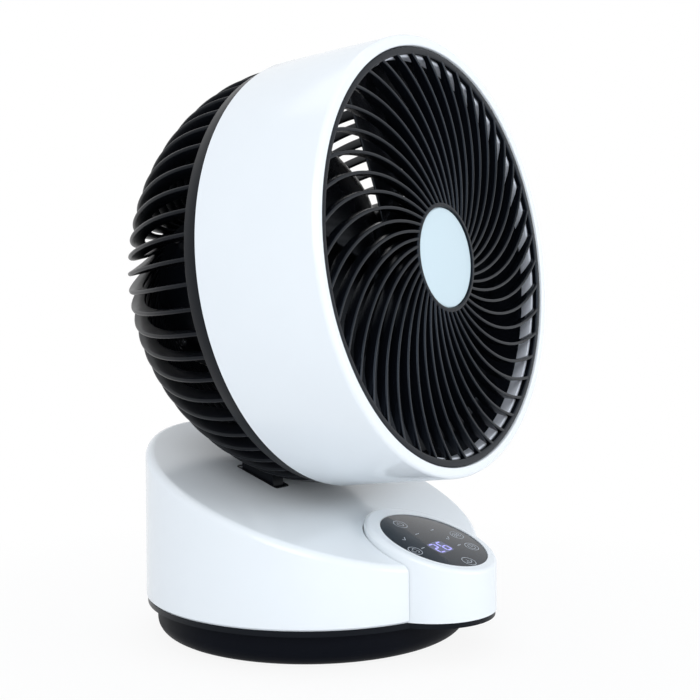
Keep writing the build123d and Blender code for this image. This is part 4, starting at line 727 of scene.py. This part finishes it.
# %% Cap in the rear hub
CAP_EDGE = 43.7
CAP_CROWN = -1.0
CAP_WALL = 2.2
CAP_LEDGE = 4.0
SKIRT_OUTER = 42.2
SKIRT_INNER = 40.2
SKIRT_LENGTH = 12.0
outline = [(0, CAP_CROWN), (32, CAP_CROWN, 9), (42.5, 0, 1), (CAP_EDGE, 1, 0.3), (CAP_EDGE, CAP_LEDGE, 0.3),
           (SKIRT_OUTER, CAP_LEDGE, 0.2), (SKIRT_OUTER, SKIRT_LENGTH, 0.4), (SKIRT_INNER, SKIRT_LENGTH, 0.4),
           (SKIRT_INNER, CAP_WALL, 0.3), (0, CAP_WALL)]
back_cap = turned(rounded([(r, HUB_FACE + d, *edge) for r, d, *edge in outline]), 128, closed=False)
shown("pod_cap", back_cap, "head", black_abs, ["rear_cap"], move=on_head)

# %% [markdown]
# ## Fan wheel
# Seven broad blades grow out of a cup and overlap at their roots. A blade is a thin curved section that
# grows longer towards its tip and is swept a little forward. Four sections, chosen so that light shows
# between the blades as in the photograph, are joined by a cubic through each set of matching points.
# Every line along the blade is then cut where it meets the wheel's circle, so the tip is truly round.

# %% One blade from four sections
BLADES = 7
BLADE_PHASE = 44.2
ROOT_RADIUS = 33.6
WHEEL_RADIUS = 114.0
STATIONS = np.array([28.0, 60, 90, 124])
CHORD = np.array([73.0, 75, 76, 79])
PITCH = np.radians([24.5, 20, 19, 22.5])
CAMBER = np.array([4.0, 8, 6, 7])
LEAD = np.array([-6.7, -2.4, 3, 8.5])
MIDDLE = np.array([28.1, 29.7, 28.6, 27.5])
EDGE = 0.6
BELLY = 0.7
NEAREST = 12.0
FARTHEST = 128.0


def fan_blade(steps=23, rows=26):
    """A section at each station: height = +-edge + (camber +- belly)(1 - t^2), t from -1 to 1 on the chord.

    It is turned by the pitch and moved to its lead and middle. Between the stations each point follows
    the cubic a r^3 + b r^2 + c r + d through its four places, with r in units of 100 mm.
    """
    t = np.sin(np.linspace(-np.pi / 2, np.pi / 2, steps))
    run = np.concatenate([t, [1.012], t[::-1], [-1.012]])
    bow = 1 - np.concatenate([t, [1], t[::-1], [-1]])[None] ** 2
    face = np.concatenate([np.ones(steps), [0], -np.ones(steps), [0]])[None]
    rise = EDGE * face + (CAMBER[:, None] + BELLY * face) * bow
    run = run[None] * CHORD[:, None] / 2
    c, s = np.cos(PITCH)[:, None], np.sin(PITCH)[:, None]
    y, z = LEAD[:, None] + run * c - rise * s, MIDDLE[:, None] + run * s + rise * c
    powers = np.vander(STATIONS / 100, 4)
    fit_y, fit_z = np.linalg.solve(powers, y), np.linalg.solve(powers, z)

    def side(fit, r):
        """The cubic's value at r."""
        return sum(fit[k] * (r / 100) ** (3 - k) for k in range(4))

    def cut(radius):
        """The r at which a line meets the circle, by halving the span thirty times."""
        low, high = np.full(run.shape[1], NEAREST), np.full(run.shape[1], FARTHEST)
        for _ in range(30):
            middle = (low + high) / 2
            short = np.hypot(middle, side(fit_y, middle)) < radius
            low, high = np.where(short, middle, low), np.where(short, high, middle)
        return (low + high) / 2

    grow = np.linspace(0, 1, rows)[:, None]
    r = cut(ROOT_RADIUS) * (1 - grow) + cut(WHEEL_RADIUS) * grow
    return tube_of(np.stack([r, side(fit_y, r), side(fit_z, r)], -1))


print("one blade has", len(fan_blade()[1]), "faces")

# %% Cup and wheel
NOSE_RADIUS = 37.0
NOSE_INNER = 34.5
NOSE_BACK = -1.0
NOSE_FRONT = 43.0
NOSE_FLOOR = 40.5
BOSS_RADIUS = 9.0
BOSS_BACK = 6.0
SHAFT_HOLE = 4.02
cup = turned(rounded([(NOSE_RADIUS, NOSE_BACK, 0.5), (NOSE_RADIUS, NOSE_FRONT, 8),
                      (SHAFT_HOLE, NOSE_FRONT, 0.3), (SHAFT_HOLE, BOSS_BACK, 0.2),
                      (BOSS_RADIUS, BOSS_BACK, 0.4),
                      (BOSS_RADIUS, NOSE_FLOOR, 1.5), (NOSE_INNER, NOSE_FLOOR, 5.5),
                      (NOSE_INNER, NOSE_BACK, 0.4)], 8), 160)
wheel = joined(cup, copies(fan_blade(), BLADE_PHASE + np.arange(BLADES) * 360 / BLADES))
shown("fan_wheel", wheel, "rotor", blade_resin, ["impeller"], sharp=40, move=on_head)

# %% [markdown]
# ## Touch window
# A round window sits just below the rim of the console. Its marks are pad-printed lines, about 0.4 mm
# wide. They could be a texture, but as thin solids they stay crisp at any distance and are part of the
# model's meshes too. Every mark here is a plain, generic sign.

# %% Window disc
PANEL_RADIUS = 33.6
PANEL_THICKNESS = 2.0
glass = turned(rounded([(0, -PANEL_THICKNESS), (PANEL_RADIUS, -PANEL_THICKNESS, 0.2), (PANEL_RADIUS, 0, 0.4),
                        (0, 0)]), 192, closed=False)
shown("panel_window", glass, "base", window, ["touch_panel"], move=on_panel)

# %% Lines printed on the window
PRINT_LOW = -0.02
PRINT_TOP = 0.05
KEY_RADIUS = 4.4


def stroke(points, width=0.42, close=False):
    """A flat bar along points (x, y), each moved half the width to both sides.

    It lies on the window from PRINT_LOW, just under the face, to PRINT_TOP.
    """
    p = np.asarray(points, float)
    ahead = np.roll(p, -1, 0) - np.roll(p, 1, 0) if close else np.gradient(p, axis=0)
    ahead /= np.linalg.norm(ahead, axis=1, keepdims=True)
    side = np.stack([-ahead[:, 1], ahead[:, 0]], -1) * width / 2
    low, high = np.full((len(p), 1), PRINT_LOW), np.full((len(p), 1), PRINT_TOP)
    rings = np.stack([np.hstack([p - side, low]), np.hstack([p + side, low]),
                      np.hstack([p + side, high]), np.hstack([p - side, high])], 1)
    if close:
        return rings.reshape(-1, 3), patch(len(p), 4, around=True, along=True)
    return tube_of(rings)


def arc(radius, start, end, x=0.0, y=0.0, steps=40):
    """Points of a circle: x + radius cos a, y + radius sin a."""
    a = np.radians(np.linspace(start, end, steps))
    return np.stack([x + radius * np.cos(a), y + radius * np.sin(a)], -1)


def straight(x0, y0, x1, y1):
    """Three points on a straight run."""
    return np.linspace([x0, y0], [x1, y1], 3)


def moved(parts, x, y):
    """Parts drawn about the origin, moved to their place on the window."""
    return [(p + [x, y, 0], f) for p, f in parts]


key_ring = stroke(arc(KEY_RADIUS, 0, 360, steps=49)[:-1], 0.4, close=True)
print("the ring round a key has", len(key_ring[1]), "faces")

# %% Signs of the five keys
def key(*sign):
    """A sign inside the ring round a key."""
    return [key_ring, *sign]


def petal(turn):
    """One of three half rings about the middle of the sign for the blades."""
    place = np.radians(turn + 60)
    return stroke(arc(1.25, turn, turn + 190, 1.3 * np.cos(place), 1.3 * np.sin(place), 16))


def ripple(height):
    """One wave line: height + 0.6 sin a, over 5 mm."""
    a = np.linspace(0, 2 * np.pi, 25)
    return stroke(np.stack([np.linspace(-2.5, 2.5, 25), height + 0.6 * np.sin(a)], -1))


power = key(stroke(arc(2.1, 125, 415)), stroke(straight(0, 0.6, 0, 2.7)))
timer = key(stroke(arc(2.5, 0, 360, steps=33)[:-1], 0.35, close=True), stroke(straight(0, 0, 0, 1.7)),
            stroke(straight(0, 0, 1.3, 0)))
blades = key(petal(0), petal(120), petal(240))
swing = key(stroke(arc(2.6, 210, 330, 0, 1.0)), stroke(straight(-3.0, -0.4, -1.7, -0.1)),
            stroke(straight(3.0, -0.4, 1.7, -0.1)), stroke(straight(0, 2.2, 0, -0.4)))
waves = key(ripple(-1.3), ripple(0.1), ripple(1.5))
tick = [stroke(straight(-1.8, 0, -0.3, -1.3), 0.5), stroke(straight(-0.3, -1.3, 2.4, 1.4), 0.5)]
dash = [stroke(straight(-1.8, 0, 1.8, 0), 0.6)]
layout = [(power, -4.0, 22.6), (waves, 23.6, -2.5), (timer, 18.6, -16.6), (swing, -3.4, -27.6),
          (blades, -27.6, -4.4), (tick, -20.7, 8.5), (dash, -4.7, 9.4), (dash, 12.0, 8.9),
          (tick, 12.4, -2.6), (dash, 11.2, -11.7), (dash, -18.8, -4.2)]
marks = joined(*[part for sign, x, y in layout for part in moved(sign, x, y)])
shown("key_marks", marks, "base", print_grey, [], move=on_panel)

# %% [markdown]
# The display shows two digits, each with room for seven bars, as every such display has. A bar is a flat
# hexagon. Which bars are lit is the whole of the lettering, so one short table of numbers draws it. The
# clear resin over the bars spreads some of their light, so a faint pane glows round them.

# %% Seven-bar digits
BAR_LENGTH = 4.2
BAR_WIDTH = 0.95
BAR_LOW = -0.02
BAR_TOP = 0.04
REACH = 2.3
DIGIT_STEP = 3.9
DISPLAY_AT = (-5.2, -8.2)


def bar(x, y, upright):
    """A flat bar with pointed ends, lying or standing, centred on x, y."""
    h, w = BAR_LENGTH / 2, BAR_WIDTH / 2
    hexagon = np.array([(-h, 0), (-h + w, w), (h - w, w), (h, 0), (h - w, -w), (-h + w, -w)])
    if upright:
        hexagon = hexagon[:, ::-1]
    ring = hexagon + [x, y]
    rings = np.stack([np.column_stack([ring, np.full(6, n)]) for n in (BAR_LOW, BAR_TOP)])
    return tube_of(rings)


BARS = [(0, 2 * REACH, False), (REACH, REACH, True), (REACH, -REACH, True), (0, -2 * REACH, False),
        (-REACH, -REACH, True), (-REACH, REACH, True), (0, 0, False)]
LIT = {"2": (0, 1, 6, 4, 3), "6": (0, 5, 4, 3, 2, 6)}
digits = []
for shift, figure in ((-DIGIT_STEP, "2"), (DIGIT_STEP, "6")):
    digits += moved([bar(*BARS[k]) for k in LIT[figure]], DISPLAY_AT[0] + shift, DISPLAY_AT[1])
shown("lit_digits", joined(*digits), "base", digit_light, [], move=on_panel)

# %% Glow round the digits
PANE_HALF = (8.0, 6.0)
PANE_CORNER = 3.0
PANE_LOW = -0.05
PANE_TOP = 0.015
x0, x1 = DISPLAY_AT[0] - PANE_HALF[0], DISPLAY_AT[0] + PANE_HALF[0]
y0, y1 = DISPLAY_AT[1] - PANE_HALF[1], DISPLAY_AT[1] + PANE_HALF[1]
pane = rounded([(x, y, PANE_CORNER) for x, y in ((x0, y0), (x1, y0), (x1, y1), (x0, y1))], 8)
pane = tube_of(np.stack([np.column_stack([pane, np.full(len(pane), n)]) for n in (PANE_LOW, PANE_TOP)]))
shown("lit_pane", pane, "base", haze_light, [], move=on_panel)

# %% [markdown]
# ## Studio
# A pale floor, a white room, and four large soft lamps. The room is white only for rays that the eye or
# a reflection follows; for the light that falls on the object it is dimmer, and the lamps add the soft
# direction. So a colour renders about as it is written, and the floor keeps the object's shadow.

# %% Floor
FLOOR_HALF = 40.0
FLOOR_DROP = 0.0001
NEAR_WHITE = 0.86
WHITE_PER_METRE = 0.35


def seen_rays(tree):
    """1 for rays from the camera, a mirror or a clear solid, 0 for the light that falls on the object."""
    rays = add(tree, "ShaderNodeLightPath").outputs
    seen = rays["Is Camera Ray"]
    for kind in ("Is Glossy Ray", "Is Transmission Ray"):
        seen = add(tree, "ShaderNodeMath", {"operation": "MAXIMUM"}, {0: seen, 1: rays[kind]}).outputs[0]
    return seen


def floor_board():
    """A matt white board. To the eye it is partly plain white: NEAR_WHITE + WHITE_PER_METRE x distance.

    The distance is from the pan axis. The share stops at 1, so the shadow near the object shows and the
    far edge of the floor doesn't.
    """
    board, tree = new_finish("matt_white_board")
    where = add(tree, "ShaderNodeTexCoord").outputs["Object"]
    away = add(tree, "ShaderNodeVectorMath", {"operation": "LENGTH"}, {0: where})
    ramp = add(tree, "ShaderNodeMath", {"operation": "MULTIPLY_ADD", "use_clamp": True},
               {0: away.outputs["Value"], 1: WHITE_PER_METRE, 2: NEAR_WHITE})
    share = add(tree, "ShaderNodeMath", {"operation": "MULTIPLY"}, {0: seen_rays(tree), 1: ramp.outputs[0]})
    dull = add(tree, "ShaderNodeBsdfDiffuse", None, {"Color": linear("f8f9fa")})
    plain = add(tree, "ShaderNodeEmission", None, {"Color": linear("ffffff"), "Strength": 1.0})
    mix = add(tree, "ShaderNodeMixShader", None,
              {0: share.outputs[0], 1: dull.outputs[0], 2: plain.outputs[0]})
    add(tree, "ShaderNodeOutputMaterial", None, {"Surface": mix.outputs[0]})
    return board


floor_mesh = bpy.data.meshes.new("studio_floor")
corners = [(x * FLOOR_HALF, y * FLOOR_HALF, -FLOOR_DROP) for x, y in ((-1, -1), (1, -1), (1, 1), (-1, 1))]
floor_mesh.from_pydata(corners, [], [(0, 1, 2, 3)])
floor_mesh.materials.append(floor_board())
floor = bpy.data.objects.new("studio_floor", floor_mesh)
bpy.context.scene.collection.objects.link(floor)
print("floor", 2 * FLOOR_HALF, "m wide")

# %% Room
ROOM_LIGHT = 0.62
world = bpy.data.worlds.new("studio")
world.use_nodes = True
sky = world.node_tree
sky.nodes.clear()
lighting = add(sky, "ShaderNodeBackground", None, {"Color": linear("f4f8ff"), "Strength": ROOM_LIGHT})
white = add(sky, "ShaderNodeBackground", None, {"Color": linear("ffffff"), "Strength": 1.0})
both = add(sky, "ShaderNodeMixShader", None, {0: seen_rays(sky), 1: lighting.outputs[0], 2: white.outputs[0]})
add(sky, "ShaderNodeOutputWorld", None, {"Surface": both.outputs[0]})
bpy.context.scene.world = world
print("room made")

# %% Lamps
LIT_POINT = np.array([0, 0, 0.18])


def lamp(name, at, size, watts):
    """A square soft lamp that faces the object: its -Z axis is turned towards LIT_POINT."""
    data = bpy.data.lights.new(name, "AREA")
    data.size, data.energy = size, watts
    thing = bpy.data.objects.new(name, data)
    bpy.context.scene.collection.objects.link(thing)
    gap = np.array(at) - LIT_POINT
    z = gap / np.linalg.norm(gap)
    x = np.cross([0, 0, 1], z)
    x = x / np.linalg.norm(x)
    stand = Matrix(np.column_stack([x, np.cross(z, x), z]).tolist()).to_4x4()
    stand.translation = at
    thing.matrix_world = stand
    thing.visible_camera = False


lamp("key", (-1.7, -1.0, 1.0), 1.4, 16.0)
lamp("front", (0.6, -2.0, 0.2), 1.5, 13.0)
lamp("top", (0.1, 0.4, 2.2), 1.5, 6.0)
lamp("low", (0.3, -1.3, 0.05), 0.8, 2.5)
print("lamps made")

# %% [markdown]
# ## Camera
# The camera looks slightly down at the left side of the front, from 0.7 m away with a 55 mm lens.

# %% Camera
AZIMUTH, RISE, ROLL = np.radians([-54.604, 1.258, -0.290])
DISTANCE = 0.6992
LENS = 55.386
SENSOR = 36.0
AIM_HEIGHT = 0.1827
AIM_RIGHT = 0.0250
AIM_DOWN = 0.0048
back = np.array([np.sin(AZIMUTH) * np.cos(RISE), -np.cos(AZIMUTH) * np.cos(RISE), np.sin(RISE)])
right = np.array([np.cos(AZIMUTH), np.sin(AZIMUTH), 0.0])
up = np.cross(back, right)
target = np.array([0, 0, AIM_HEIGHT]) + right * AIM_RIGHT - up * AIM_DOWN
rolled_right = np.cos(ROLL) * right + np.sin(ROLL) * up
rolled_up = -np.sin(ROLL) * right + np.cos(ROLL) * up
eye = bpy.data.objects.new("camera", bpy.data.cameras.new("camera"))
bpy.context.scene.collection.objects.link(eye)
eye.data.sensor_width, eye.data.lens = SENSOR, LENS
pose = Matrix(np.column_stack([rolled_right, rolled_up, back]).tolist()).to_4x4()
pose.translation = (target + back * DISTANCE).tolist()
eye.matrix_world = pose
bpy.context.scene.camera = eye
bpy.context.scene.view_settings.view_transform = "Standard"
print("camera at", [round(v, 3) for v in pose.translation])
